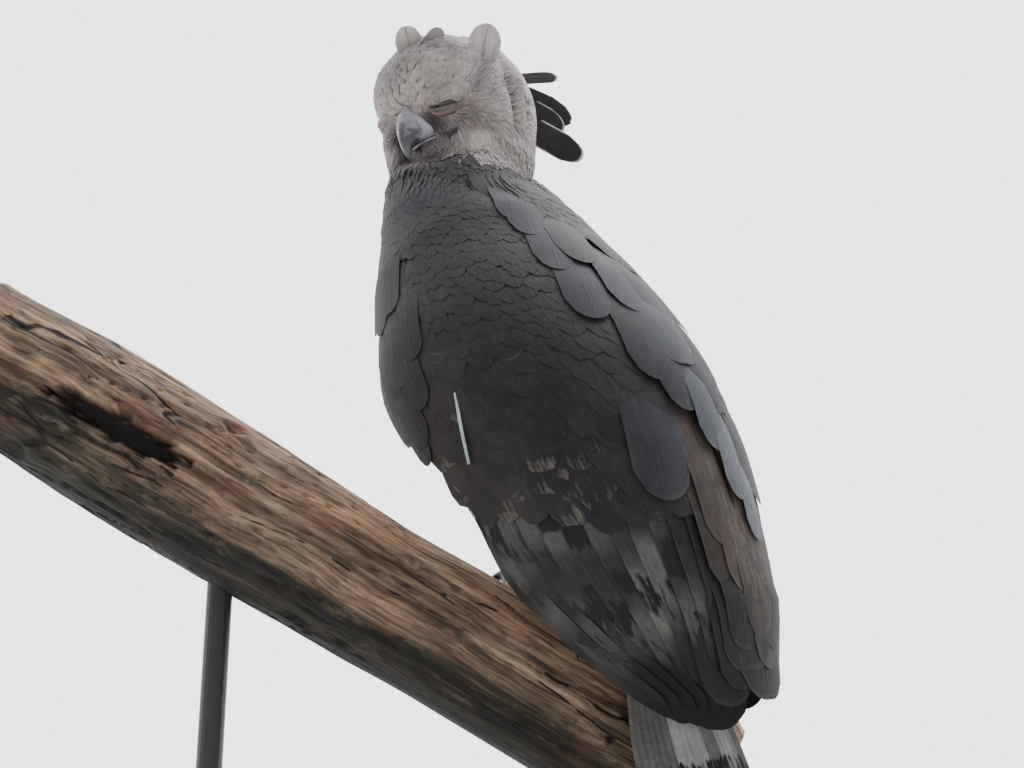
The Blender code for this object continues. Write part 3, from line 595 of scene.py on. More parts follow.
# %% [markdown]
# ## How a feather is made
# A feather here is a thin closed slab with a rounded tip. The slab is modelled once, with a grid and an
# extrusion, and then copied with arrays, because each copy bends along its own path. A path is a few
# stations, each with a middle, a direction across and a direction outwards.

# %% The slabs that the feathers are copies of
def slab(across, along):
    """Corners (a from -1 to 1 across, b from 0 to 1 along, c 0 outside and 1 inside) and faces."""
    bm = bmesh.new()
    bmesh.ops.create_grid(bm, x_segments=across, y_segments=along, size=1.0)
    made = bmesh.ops.extrude_face_region(bm, geom=list(bm.faces), use_keep_orig=True)["geom"]
    inside = [item for item in made if isinstance(item, bmesh.types.BMVert)]
    bmesh.ops.translate(bm, verts=inside, vec=(0.0, 0.0, 1.0))
    bmesh.ops.recalc_face_normals(bm, faces=bm.faces)
    bm.verts.index_update()
    corners = np.array([tuple(vertex.co) for vertex in bm.verts])
    corners[:, 1] = (corners[:, 1] + 1) / 2
    faces = np.array([[vertex.index for vertex in face.verts] for face in bm.faces])
    bm.free()
    return corners, faces


flight_slab, covert_slab, plume_slab, tuft_slab = slab(8, 16), slab(6, 9), slab(4, 5), slab(2, 3)
for plain_slab in (flight_slab, covert_slab, plume_slab, tuft_slab):
    print("a slab of", len(plain_slab[1]), "faces")


# %% Bending a slab along its stations
def bent(shape, stations, width, thick=0.0005, tip=1.0, root=0.5, camber=4.0, ragged=0.0, seed=0):
    """Copies of a slab. The stations are three (feathers, stations, 3) arrays: middle, across, out."""
    a, b, c = shape[0].T
    centre, across, out = stations
    count, steps = centre.shape[:2]
    length = np.linalg.norm(np.diff(centre, axis=1), axis=2).sum(axis=1)[:, None]
    half = np.broadcast_to(width, count)[:, None] / 2
    chance = np.random.default_rng(seed)
    columns, column = np.unique(np.round(a, 4), return_inverse=True)
    jags = chance.uniform(0.0, ragged, (count, len(columns)))[:, column] if ragged else 0.0
    v = b * (1 - tip * (1 - np.sqrt(1 - 0.97 * a**2)) * half / length - jags)
    reach = a * half * (root + (1 - root) * smooth(0.0, 0.35, v))
    place = v * (steps - 1)
    low = np.clip(place.astype(int), 0, steps - 2)
    t = (place - low)[..., None]
    rows = np.arange(count)[:, None]
    c0, s0, n0 = (values[rows, low] for values in (centre, across, out))
    c1, s1, n1 = (values[rows, low + 1] for values in (centre, across, out))
    middle, side, up = c0 + (c1 - c0) * t, s0 + (s1 - s0) * t, n0 + (n1 - n0) * t
    drop = camber * reach**2 + thick * c * (1 - 0.6 * b)
    ahead = centre[:, 1] - centre[:, 0]
    left_handed = np.einsum("ij,ij->i", np.cross(across[:, 0], ahead), out[:, 0]).mean() > 0
    number = chance.uniform(0.0, 9.0, (count, 1))
    return {
        "points": middle + side * reach[..., None] - up * drop[..., None],
        "faces": shape[1][:, ::-1] if left_handed else shape[1],
        "vane": np.stack(np.broadcast_arrays((a + 1) / 2, b, v)[:2], axis=-1),
        "lie": np.stack(np.broadcast_arrays(reach, v * length, number), axis=-1),
        "v": v,
    }


# %% [markdown]
# Thousands of objects would be slow, so all the feathers of one part of the bird are joined into one
# mesh. Each corner carries marks: its dye, how much of a dark or pale patch or worn rim it has, and where
# it lies on its feather. A second UV map gives every feather a small patch at its root's place on an
# unwrap of the body, for baking.

# %% Joining many feathers into one coat piece
PATCH = 0.003  # how large a feather is on the map that its colours are baked to
MARKS = {"dye": 3, "lie": 3, "rim": 1, "pale": 1, "dark": 1}
KINDS = {"dye": ("FLOAT_COLOR", "color"), "lie": ("FLOAT_VECTOR", "vector")}


def mark(mesh, name, values):
    """Writes an attribute on the mesh's points. A material reads it by its name."""
    kind, socket = KINDS.get(name, ("FLOAT", "value"))
    if name == "dye":
        values = np.column_stack([values, np.ones(len(values))])
    mesh.attributes.new(name, kind, "POINT").data.foreach_set(socket, np.ravel(values))


def coat(name, groups, material, crisp=True):
    """One mesh of all the feathers in the groups, with their marks as attributes and two UV maps."""
    counts = [group["v"].size for group in groups]
    starts = np.cumsum([0, *counts[:-1]])
    faces = []
    for start, group in zip(starts, groups):
        number, corners = group["v"].shape
        steps = start + corners * np.arange(number)[:, None, None]
        faces.append((group["faces"][None] + steps).reshape(-1, 4))
    faces = np.concatenate(faces)
    mesh = bpy.data.meshes.new(name)
    mesh.vertices.add(sum(counts))
    mesh.vertices.foreach_set("co", np.concatenate([g["points"].reshape(-1) for g in groups]))
    mesh.loops.add(faces.size)
    mesh.loops.foreach_set("vertex_index", faces.ravel())
    mesh.polygons.add(len(faces))
    mesh.polygons.foreach_set("loop_start", np.arange(len(faces)) * 4)
    vane_uv = [np.broadcast_to(g["vane"], (*g["v"].shape, 2)) for g in groups]
    bake_uv = [g["place"][:, None] + (g["vane"] - 0.5) * g.get("patch", PATCH) for g in groups]
    for layer, parts in (("vane", vane_uv), ("OFBake", bake_uv)):
        uv = np.concatenate([part.reshape(-1, 2) for part in parts])
        mesh.uv_layers.new(name=layer).data.foreach_set("uv", uv[faces.ravel()].ravel())
    for key, size in MARKS.items():
        shapes = [g["v"].shape + ((size,) if size > 1 else ()) for g in groups]
        values = [np.broadcast_to(g.get(key, 0.0), shape) for g, shape in zip(groups, shapes)]
        mark(mesh, key, np.concatenate([value.reshape(-1, size) for value in values]))
    mesh.update(calc_edges=True)
    mesh.shade_smooth()
    if crisp:  # flat vanes with a thin edge; the small round feathers of the head stay soft
        mesh.set_sharp_from_angle(angle=math.radians(45.0))
    mesh.materials.append(material)
    made = shown(name, mesh)
    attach(made, "root")
    print(name, sum(len(group["v"]) for group in groups), "feathers,", len(faces) * 2, "triangles")
    return made


# %% [markdown]
# ## What feathers are made of
# Feathers are keratin: each vane is a comb of fine barbs on a shaft. The barbs are finer than a pixel
# here, so they are drawn as faint slanting lines. Dark feathers look velvety, with a soft sheen and no
# clear highlight. The markings run along the barbs, so their edges are ragged: a smooth mark on the
# points says where a patch lies, and a streaky noise along the feather frays its edge.

# %% Feather material
BARB_SPACING = 0.0012  # real barbs are about 0.3 mm apart: drawn coarser so that they show
STREAK_ACROSS, STREAK_ALONG = 0.0016, 0.014  # size of the streaks in the markings


def feather_material(name, dark_colour, pale_colour, relief, roughness, sheen, mottle):
    made, tree, shader = new_material(name)
    coords = add(tree, "TexCoord", out="Object")
    marks = {}
    for key in MARKS:
        marks[key] = add(tree, "Attribute", out="Vector" if key == "lie" else "Color", attribute_name=key)
    dye, lie, rim, pale, dark = marks.values()
    parts = add(tree, "SeparateXYZ", {0: lie}, out="all")
    vane = add(tree, "SeparateXYZ", {0: add(tree, "UVMap", uv_map="vane")}, out="all")
    scale = (1 / STREAK_ACROSS, 1 / STREAK_ALONG, 3.0)
    stretched = add(tree, "VectorMath", {0: lie, 1: scale}, operation="MULTIPLY")
    streak = add(tree, "TexNoise", {"Vector": stretched, "Scale": 0.6, "Detail": 3.0})
    fine = add(tree, "TexNoise", {"Vector": coords, "Scale": 260.0, "Detail": 3.0})
    broad = add(tree, "TexNoise", {"Vector": coords, "Scale": 34.0, "Detail": 3.0})
    # The vane's own colour, a little lighter and darker from place to place and along its streaks
    uneven = add(tree, "Math", {0: broad, 1: streak}, operation="ADD")
    uneven = add(tree, "Math", {0: fine, 1: mottle, 2: uneven}, operation="MULTIPLY_ADD")
    middle = 1.0 + 0.5 * mottle
    uneven = add(tree, "MapRange", {0: uneven, 1: middle - 0.3, 2: middle + 0.3, 3: 0.70, 4: 1.30})
    colour = add(tree, "VectorMath", {0: dye, 1: uneven}, operation="MULTIPLY")
    # Dark and pale patches with frayed edges
    patches = ((dark, dark_colour, 0.46, 0.62, 1.0), (pale, pale_colour, 0.50, 0.84, 0.9))
    for patch, tone, low, high, most in patches:
        frayed = patch
        for layer, weight in ((fine, 0.25), (streak, 1.0), (broad, 0.3)):
            frayed = add(tree, "Math", {0: layer, 1: weight, 2: frayed}, operation="MULTIPLY_ADD")
        share = add(tree, "MapRange", {0: frayed, 1: low + 0.775, 2: high + 0.775, 4: most})
        colour = add(tree, "Mix", {0: share, 6: colour, 7: rgba(tone)}, out=2, data_type="RGBA")
    # The worn pale rim, at the tip and the last part of the sides
    off_shaft = add(tree, "Math", {0: vane[0], 1: 0.5}, operation="SUBTRACT")
    off_shaft = add(tree, "Math", {0: off_shaft}, operation="ABSOLUTE")
    side = add(tree, "MapRange", {0: off_shaft, 1: 0.43, 2: 0.49})
    far = add(tree, "MapRange", {0: vane[1], 1: 0.15, 2: 0.5})
    side = add(tree, "Math", {0: side, 1: far}, operation="MULTIPLY")
    end = add(tree, "MapRange", {0: vane[1], 1: 0.955, 2: 0.985})
    border = add(tree, "Math", {0: side, 1: end}, operation="MAXIMUM")
    worn = add(tree, "MapRange", {0: broad, 1: 0.38, 2: 0.60})
    for share in (worn, rim):
        border = add(tree, "Math", {0: border, 1: share}, operation="MULTIPLY", use_clamp=True)
    colour = add(tree, "Mix", {0: border, 6: colour, 7: rgba(pale_colour)}, out=2, data_type="RGBA")
    # Barbs leave the shaft at a slant on both sides
    out = add(tree, "Math", {0: parts[0]}, operation="ABSOLUTE")
    slant = add(tree, "Math", {0: out, 1: -1.4, 2: parts[1]}, operation="MULTIPLY_ADD")
    barbs = add(tree, "Math", {0: slant, 1: 2 * math.pi / BARB_SPACING}, operation="MULTIPLY")
    barbs = add(tree, "Math", {0: barbs}, operation="SINE")
    shaft = add(tree, "MapRange", {0: out, 1: 0.0003, 2: 0.0010, 3: 2.5, 4: 0.0})
    height = shaft
    for layer, weight in ((barbs, 0.35), (streak, 1.5), (fine, 2.0)):
        height = add(tree, "Math", {0: layer, 1: weight, 2: height}, operation="MULTIPLY_ADD")
    lift = add(tree, "Bump", {"Height": height, "Strength": 0.6, "Distance": relief})
    surface = {
        "Base Color": colour, "Normal": lift, "Roughness": roughness, "Specular IOR Level": 0.18,
        "Sheen Weight": sheen, "Sheen Roughness": 0.5,
    }
    plug(shader, surface)
    return made


slate_feather = feather_material(
    "slate contour feather, keratin", "#0f0e10", "#4f4841", 0.00012, 0.66, 0.04, 0.7
)
pale_feather = feather_material(
    "pale grey head feather, keratin", "#4a4340", "#c2b8af", 0.00012, 0.80, 0.12, 0.3
)
white_feather = feather_material(
    "white belly feather, keratin", "#1b1a1b", "#e6e2da", 0.00020, 0.78, 0.12, 0.2
)


# %% [markdown]
# ## The folded wings
# A folded wing is rows of feathers that overlap like roof tiles: long flight feathers underneath, then
# greater, median and lesser coverts, with the large smooth scapulars over the join with the back. Every
# feather follows the rings of the wing, from its root to its tip, so a row is told by its first and last
# feather only.

# %% Stations on the wing
def on_wing(side, height, degrees, lift, tilt=0.05):
    """Stations for (feathers, stations) arrays of heights and angles. side is 1 for the left wing."""
    angle = np.radians(degrees)

    def spot(at_height, at_angle):
        points = ring_points(wing_curve, at_height, at_angle, lift)
        points[..., 1] *= side
        return points

    def unit(values):
        return values / np.linalg.norm(values, axis=-1, keepdims=True)

    centre = spot(height, angle)
    forwards = spot(height, angle + 0.01) - spot(height, angle - 0.01)
    out = unit(np.cross(spot(height + 0.002, angle) - spot(height - 0.002, angle), forwards))
    radial = np.stack([-np.cos(angle), side * np.sin(angle), 0 * angle], axis=-1)
    out *= np.sign((out * radial).sum(axis=-1, keepdims=True))
    across = unit(np.cross(np.gradient(centre, axis=1), out))
    across *= np.sign((across * forwards).sum(axis=-1, keepdims=True))
    tilted = unit(across + tilt * out)
    out = unit(out - tilt * across)
    return moved(centre, bird_to_world), turned(tilted, bird_to_world), turned(out, bird_to_world)


def wing_place(points):
    """Height and angle on the folded wings, for points of the world."""
    local = in_frame(points, bird_to_world)
    width, depth, shift = look_up(wing_curve, local[..., 2])
    return local[..., 2], np.degrees(np.arctan2(local[..., 1] / width, (shift - local[..., 0]) / depth))


def wing_group(side, shape, feathers, lift, tilt=0.05, stations=8, patch=PATCH, **form):
    """Feathers given as rows of (root height, root angle, tip height, tip angle, width)."""
    root_h, root_a, tip_h, tip_a, width = np.array(feathers, dtype=float).T[:5]
    v = np.linspace(0.0, 1.0, stations)
    heights = root_h[:, None] + (tip_h - root_h)[:, None] * v
    degrees = root_a[:, None] + (tip_a - root_a)[:, None] * v
    lifts = lift[0] + (lift[1] - lift[0]) * smooth(0.0, 0.7, v)
    lifts = lifts + 0 * heights
    group = bent(shape, on_wing(side, heights, degrees, lifts, tilt), width, **form)
    group["height"], group["angle"] = wing_place(group["points"])
    group["place"] = np.stack([0.5 + side * root_a / 300.0, 0.35 + root_h], axis=-1)
    group["patch"] = patch
    return group


def row(count, first, last, hang=0.0, jitter=0.003, seed=0):
    """Feathers from the first to the last of a row, whose middle tips hang lower."""
    chance = np.random.default_rng(seed)
    share = np.linspace(0.0, 1.0, count)[:, None]
    feathers = np.array(first) + (np.array(last) - np.array(first)) * share
    feathers[:, 2] -= hang * np.sin(np.pi * share[:, 0])
    feathers[:, 2] += chance.uniform(-jitter, jitter, count)
    feathers[:, 3] += chance.uniform(-1.2, 1.2, count)
    return feathers


# %% [markdown]
# No two feathers have quite the same tone. A seeded random number for each feather keeps neighbours apart,
# and comes out the same in every run.

# %% Colours of the wing
def blend(low, high, share):
    """Two hex colours mixed by an array."""
    share = np.asarray(share)[..., None]
    return np.array(linear(low)) * (1 - share) + np.array(linear(high)) * share


def each(group, low, high, seed):
    """One random number for every feather of a group."""
    return np.random.default_rng(seed).uniform(low, high, (group["v"].shape[0], 1)) + 0 * group["v"]


def slate(group, seed, tone=0.0):
    """Dark slate, browner towards the wing's front edge and blacker on the shoulder."""
    brown = smooth(62.0, 96.0, np.abs(group["angle"])) * smooth(0.36, 0.30, group["height"])
    colour = blend("#1d1d1f", "#231e1c", brown)
    shoulder = smooth(0.30, 0.345, group["height"])[..., None]
    colour = colour * (1 - shoulder) + np.array(linear("#242427")) * shoulder
    return colour * (1.0 + tone + each(group, -0.18, 0.18, seed))[..., None]


# %% [markdown]
# Small feathers lie in staggered rows. Scattered ones would leave gaps, so a function lays them row by row
# from a top line to a bottom line, as a roof is tiled.

# %% Feathers laid like tiles
def tiles(top, bottom, sizes, length, seed, slant=0.12, overlap=0.62, breadth=1.3):
    """Staggered feathers from a top line down to a bottom line. A line is (angle, height) pairs."""
    chance = np.random.default_rng(seed)
    drop = np.mean([pair[1] for pair in top]) - np.mean([pair[1] for pair in bottom])
    made, share, number = [], 0.0, 0
    while share < 1.0:
        size = sizes[0] + (sizes[1] - sizes[0]) * share
        step = math.degrees(size * 0.86 / 0.12)
        for angle in np.arange(top[0][0] + (number % 2) * step / 2, top[-1][0], step):
            angle += chance.uniform(-0.2, 0.2) * step
            high, low = np.interp(angle, *zip(*top)), np.interp(angle, *zip(*bottom))
            height = high + (low - high) * share + chance.uniform(-0.10, 0.10) * size
            reach = size * length * chance.uniform(0.88, 1.12)
            lean = slant * (angle - 40.0) / 50.0 + chance.uniform(-0.05, 0.05)
            tip_angle = angle + math.degrees(lean * reach / look_up(wing_curve, height)[0])
            width = size * breadth * chance.uniform(0.9, 1.1)
            made.append((height, angle, height - reach, tip_angle, width, share))
        share += size * overlap / drop
        number += 1
    return made


def tucked(laid, lift):
    """Lifts of root and tip: the first rows sink in, so that no edge stands off the body."""
    share = np.array([feather[5] for feather in laid])[:, None]
    sunk = smooth(0.30, 0.0, share)
    return -0.0022 - 0.013 * sunk, lift - 0.006 * sunk**2


# %% [markdown]
# The primaries and secondaries are the long stiff feathers of the wing's lower edge. They could be
# painted on one surface, but their edges catch the light, so each is a slab of its own. They are dark and
# marbled with grey, and black bars cross them: waves along each feather, started anew for every feather.

# %% Primaries and secondaries
def primary_group(side, seed, shorter):
    first, last = (0.050, 113, -0.150, 124, 0.032), (-0.020, 66, -0.182 + shorter, 54, 0.036)
    rows = row(8, first, last, 0.004, seed=seed)
    stand_off = np.linspace(0.0060, -0.0040, len(rows))[:, None]  # the outermost one stands off the body
    form = dict(tilt=0.09, stations=10, patch=0.03, seed=seed)
    group = wing_group(side, flight_slab, rows, (-0.0050, stand_off), **form)
    along = group["lie"][..., 1]
    waves = 0.5 + 0.5 * np.sin(along * 90.0 + each(group, 0.0, 6.3, seed + 7))
    group["dye"] = blend("#100e0e", "#3b3836", waves * smooth(-0.125, -0.085, group["height"]))
    group["dark"] = 0.5 * smooth(0.2, -0.5, np.sin(along * 2 * np.pi / 0.050))
    return group


def secondary_group(side, seed, shorter):
    first, last = (0.110, 92, -0.060, 114, 0.034), (0.040, 14, -0.150 + shorter, 22, 0.040)
    rows = row(11, first, last, 0.034, 0.004, seed + 1)
    form = dict(tilt=0.07, stations=10, patch=0.03, ragged=0.01, seed=seed + 1)
    group = wing_group(side, flight_slab, rows, (-0.0040, -0.0004), **form)
    across, along = group["lie"][..., 0], group["lie"][..., 1]
    zone = smooth(22.0, 46.0, np.abs(group["angle"])) * smooth(-0.140, -0.095, group["height"])
    patchy = 0.5 + 0.5 * np.sin(along * 55.0 + each(group, 0.0, 6.3, seed + 4))
    web = np.where(group["vane"][..., 0] > 0.5, 0.85, 0.35)  # the inner half of the vane is darker
    grey = zone * (0.20 + 0.80 * smooth(0.15, 0.80, patchy)) * web * each(group, 0.55, 1.0, seed + 5)
    group["dye"] = blend("#100e0e", "#54514e", grey)
    phase = along * 2 * np.pi / 0.075 + each(group, -2.2, 2.2, seed + 2)
    group["dark"] = smooth(-0.2, 0.5, np.sin(phase)) * each(group, 0.50, 0.80, seed + 6)
    group["pale"] = 0.42 * zone * (np.abs(across) > 0.010) * each(group, 0.0, 1.0, seed + 3)
    group["rim"] = 0.12
    return group


print("bars every 50 mm on the primaries and every 75 mm on the secondaries")

# %% [markdown]
# The coverts roof the bases of the flight feathers in three bands, larger towards the edge. Wear and
# bleach have frayed some of their tips, so a random share of the feathers gets a pale ragged end. Longer
# smooth feathers run down the front edge of the wing.

# %% Coverts and the front edge
LESSER_TOP = ((22, 0.240), (45, 0.262), (70, 0.285), (96, 0.305))  # lines of (angle, height) pairs
LESSER_LOW = ((22, 0.165), (60, 0.185), (96, 0.215))
MEDIAN_TOP = ((22, 0.200), (60, 0.215), (104, 0.235))
MEDIAN_LOW = ((24, 0.085), (60, 0.110), (106, 0.140))
GREATER_TOP = ((24, 0.150), (60, 0.165), (108, 0.190))
GREATER_LOW = ((30, 0.010), (60, 0.034), (112, 0.098))
COVERTS = (  # first and last line, sizes of their feathers, slab, lift of the tips, share of frayed tips
    (GREATER_TOP, GREATER_LOW, (0.030, 0.026), covert_slab, 0.0006, 0.80),
    (MEDIAN_TOP, MEDIAN_LOW, (0.022, 0.024), covert_slab, 0.0009, 0.42),
    (LESSER_TOP, LESSER_LOW, (0.014, 0.018), plume_slab, 0.0010, 0.10),
)
HAND = (  # root height and angle, tip height and angle, width
    (0.352, 92, 0.246, 99, 0.024),
    (0.350, 106, 0.240, 110, 0.026),
    (0.300, 84, 0.186, 92, 0.026),
    (0.300, 97, 0.176, 104, 0.028),
    (0.290, 109, 0.164, 114, 0.028),
    (0.255, 90, 0.146, 101, 0.028),
    (0.240, 102, 0.124, 113, 0.032),
    (0.230, 111, 0.112, 119, 0.030),
    (0.345, 117, 0.250, 118, 0.022),
    (0.260, 118, 0.140, 124, 0.028),
)


def covert_group(side, seed, number):
    top, bottom, sizes, shape, lift, frayed = COVERTS[number]
    laid = tiles(top, bottom, sizes, 2.5, seed + 3 + number)
    form = dict(tilt=0.015, stations=5, patch=0.006, thick=0.0003, tip=1.2, camber=3.0, ragged=0.05)
    group = wing_group(side, shape, laid, (-0.0026, lift), seed=seed + 3 + number, **form)
    lighter = 1.0 + 0.15 * smooth(0.9, 0.5, group["v"])
    group["dye"] = slate(group, seed + 8 + number, -0.20) * lighter[..., None]
    share = each(group, -0.35 * frayed, frayed, seed + 12 + number).clip(0.0, 1.0)
    group["pale"] = smooth(0.62, 0.90, group["v"]) * share
    group["rim"] = each(group, -4.5, 0.45, seed + 16 + number).clip(0.0, 1.0)
    return group


def hand_group(side, seed):
    form = dict(tilt=0.04, stations=8, patch=0.012, seed=seed + 20)
    group = wing_group(side, flight_slab, HAND, (-0.0030, 0.0026), **form)
    group["dye"] = slate(group, seed + 22, -0.38)
    group["rim"] = each(group, -1.2, 0.4, seed + 23).clip(0.0, 1.0)
    return group


print(len(COVERTS), "bands of coverts,", len(HAND), "feathers on the front edge")

# %% [markdown]
# The shoulder and the mantle are covered with small scaly feathers. Their rows are laid from a top line
# to a bottom line, like tiles on a roof, and the first rows sink in, so that the shoulder grows out of
# the neck.

# %% Shoulder and mantle
SHOULDER_TOP = ((22, 0.316), (30, 0.326), (45, 0.349), (60, 0.366), (75, 0.384), (90, 0.398), (112, 0.404))
SHOULDER_LOW = ((22, 0.240), (45, 0.262), (70, 0.285), (84, 0.315), (112, 0.335))
MANTLE_TOP = ((-46, 0.338), (0, 0.352), (24, 0.352), (36, 0.356))
MANTLE_LOW = ((-46, 0.260), (0, 0.270), (12, 0.300), (24, 0.326), (36, 0.340))


def shoulder_group(side, seed):
    laid = tiles(SHOULDER_TOP, SHOULDER_LOW, (0.0085, 0.0135), 2.4, seed + 24)
    form = dict(tilt=0.015, stations=4, camber=4.0, thick=0.0003, seed=seed)
    group = wing_group(side, plume_slab, laid, tucked(laid, 0.0008), **form)
    group["dye"] = slate(group, seed + 25, 0.05)
    first_rows = np.array([feather[5] < 0.10 for feather in laid])[:, None]  # these have worn white rims
    rim = each(group, -3.0, 0.7, seed + 26) + 3.0 * first_rows * each(group, -0.3, 1.0, seed + 29)
    group["rim"] = rim.clip(0.0, 1.0)
    return group


def mantle_group(side, seed):
    laid = tiles(MANTLE_TOP, MANTLE_LOW, (0.0075, 0.0120), 3.2, seed + 27)
    under = 0.0050 * smooth(14.0, 30.0, np.abs(np.array(laid)[:, 1:2]))  # the shoulder lies over the mantle
    low, high = tucked(laid, 0.0012)
    form = dict(tilt=0.02, stations=5, tip=1.4, camber=4.0, ragged=0.10, seed=seed + 1)
    group = wing_group(side, plume_slab, laid, (low - under, high - under), **form)
    colour = blend("#262221", "#1a1819", smooth(0.325, 0.350, group["height"]))
    group["dye"] = colour * each(group, 0.8, 1.2, seed + 28)[..., None]
    return group


print("shoulder from", SHOULDER_TOP[0][1], "m up the back")

# %% [markdown]
# The scapulars and tertials are the few large feathers that the eye goes to first: smooth grey-blue ones
# over the join of wing and back, and brown or black ones towards the rump. So each is placed singly, and the
# list of their places is the drawing.

# %% Scapulars and tertials
SCAPULARS = (  # root height and angle, tip height and angle, width, lift of the tip, tone
    (0.338, 22, 0.276, 30, 0.026, 0.0024, "#3c3e45"),
    (0.348, 15, 0.252, 27, 0.034, 0.0026, "#393b42"),
    (0.330, 13, 0.205, 26, 0.037, 0.0026, "#383a40"),
    (0.272, 13, 0.146, 26, 0.042, 0.0034, "#33353b"),
    (0.326, 4, 0.210, 14, 0.040, 0.0034, "#36383e"),
    (0.246, 4, 0.080, 16, 0.043, 0.0038, "#292b30"),
    (0.285, -3, 0.150, 7, 0.042, 0.0042, "#3d3f46"),
    (0.200, 2, 0.051, 9, 0.040, 0.0044, "#2e3035"),
    (0.245, -9, 0.095, -1, 0.042, 0.0050, "#46484f"),
    (0.175, -6, 0.016, 0, 0.034, 0.0052, "#404248"),
    (0.115, -9, -0.024, -4, 0.027, 0.0058, "#4c4e54"),
    (0.060, -12, -0.056, -11, 0.024, 0.0058, "#505258"),
)
HIGH_SCAPULARS = 9  # the first ones are darker, and the far wing shows only these
TERTIALS = (  # the same
    (0.120, 20, -0.018, 31, 0.050, 0.0036, "#222326"),
    (0.075, 8, -0.060, 11, 0.036, 0.0030, "#332b27"),
    (0.030, 3, -0.098, 6, 0.036, 0.0034, "#372e29"),
    (0.040, 12, -0.090, 17, 0.034, 0.0024, "#2b2522"),
    (-0.020, -8, -0.150, -10, 0.040, 0.0036, "#241f1d"),
    (0.010, -3, -0.128, -1, 0.038, 0.0042, "#2b2522"),
    (-0.040, 12, -0.135, 17, 0.031, 0.0044, "#18191b"),
    (-0.050, 17, -0.149, 23, 0.031, 0.0038, "#17181a"),
    (-0.062, 22, -0.161, 30, 0.031, 0.0032, "#17181a"),
    (-0.050, 2, -0.172, 4, 0.044, 0.0024, "#161719"),
    (-0.060, 34, -0.170, 44, 0.040, 0.0016, "#151618"),
)
QUILL = (0.137, 86.0, 0.080, 97.0, 0.0032)  # a loose bare quill on the left wing


def tertial_groups(side, seed):
    groups = []
    for number, (*place, lift, tone) in enumerate(TERTIALS if side > 0 else TERTIALS[:-1]):
        form = dict(tilt=0.04, stations=9, patch=0.02, tip=1.3, camber=6.0, seed=seed + 30 + number)
        one = wing_group(side, flight_slab, [place], (-0.0030, lift), **form)
        streaky = smooth(14.0, 7.0, np.abs(one["angle"]))  # the ones near the back are streaked
        one["dye"] = blend(tone, tone, one["v"])
        zone = smooth(0.07, 0.03, one["height"]) * smooth(-0.125, -0.095, one["height"])
        one["pale"] = 0.56 * streaky * zone
        one["dark"] = 0.30 * streaky
        one["rim"] = 0.25
        groups.append(one)
    return groups


def scapular_groups(side, seed):
    groups = []
    for number, (*place, lift, tone) in enumerate(SCAPULARS if side > 0 else SCAPULARS[:HIGH_SCAPULARS]):
        form = dict(tilt=0.02, stations=9, patch=0.02, tip=1.5, camber=6.0, seed=seed + 50 + number)
        one = wing_group(side, flight_slab, [place], (-0.0055, lift), **form)
        one["dye"] = blend(tone, tone, one["v"]) * (0.44 if number < HIGH_SCAPULARS else 0.78)
        one["rim"] = 0.06
        groups.append(one)
    return groups


def quill_group(side, seed):
    form = dict(tilt=0.0, stations=8, patch=0.01, tip=0.4, seed=seed + 90)
    group = wing_group(side, flight_slab, [QUILL], (0.0010, 0.0040), **form)
    group["dye"] = blend("#98a1a3", "#7c8486", group["v"])
    return group


print(len(SCAPULARS), "scapulars,", len(TERTIALS), "tertials")

# %% [markdown]
# Both wings are made in the same way. The far one is hardly seen, so it is folded a little tighter and
# leaves out the feathers that would stick out behind the back.

# %% Both wings
def wing(side):
    name, seed = ("wing_left", 20) if side > 0 else ("wing_right", 60)
    shorter = 0.0 if side > 0 else 0.026  # the right wing is folded a little tighter
    groups = [primary_group(side, seed, shorter), secondary_group(side, seed, shorter)]
    groups += [covert_group(side, seed, number) for number in range(len(COVERTS))]
    groups += [hand_group(side, seed), shoulder_group(side, seed), mantle_group(side, seed)]
    groups += tertial_groups(side, seed) + scapular_groups(side, seed)
    if side > 0:
        groups.append(quill_group(side, seed))
    made = coat(name + "_feathers", groups, slate_feather)
    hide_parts(name)


wing(1)
wing(-1)


# %% [markdown]
# ## Tail
# Twelve long tail feathers lie stacked, with the middle pair on top. Each is grey with broad black bands,
# and the bands line up from feather to feather.

# %% Tail
TAIL_LENGTH = 0.368
TAIL_START = Vector((-0.008, 0.014, -0.038))
TAIL_WAY = Vector((0.04, 0.13, -0.99)).normalized()
TAIL_TWIST = math.radians(33.0)
TAIL_FEATHERS = 12
TAIL_BANDS = ((0.000, 0.062), (0.150, 0.196), (0.248, 0.290), (0.330, 0.360))  # black, from the root
BAND_EDGE = 0.006
TAIL_HALF_WIDTHS = (0.018, 0.039)  # at the root and at the tip, from the middle to the outermost shaft
HIDDEN_ROOT = 0.030  # the first part of each feather lies in the rump


def tail_frame():
    across = Vector((math.sin(TAIL_TWIST), math.cos(TAIL_TWIST), 0.0))
    across = (across - across.dot(TAIL_WAY) * TAIL_WAY).normalized()
    return bird_to_world @ frame_matrix(TAIL_START, across.cross(-TAIL_WAY), across, -TAIL_WAY)


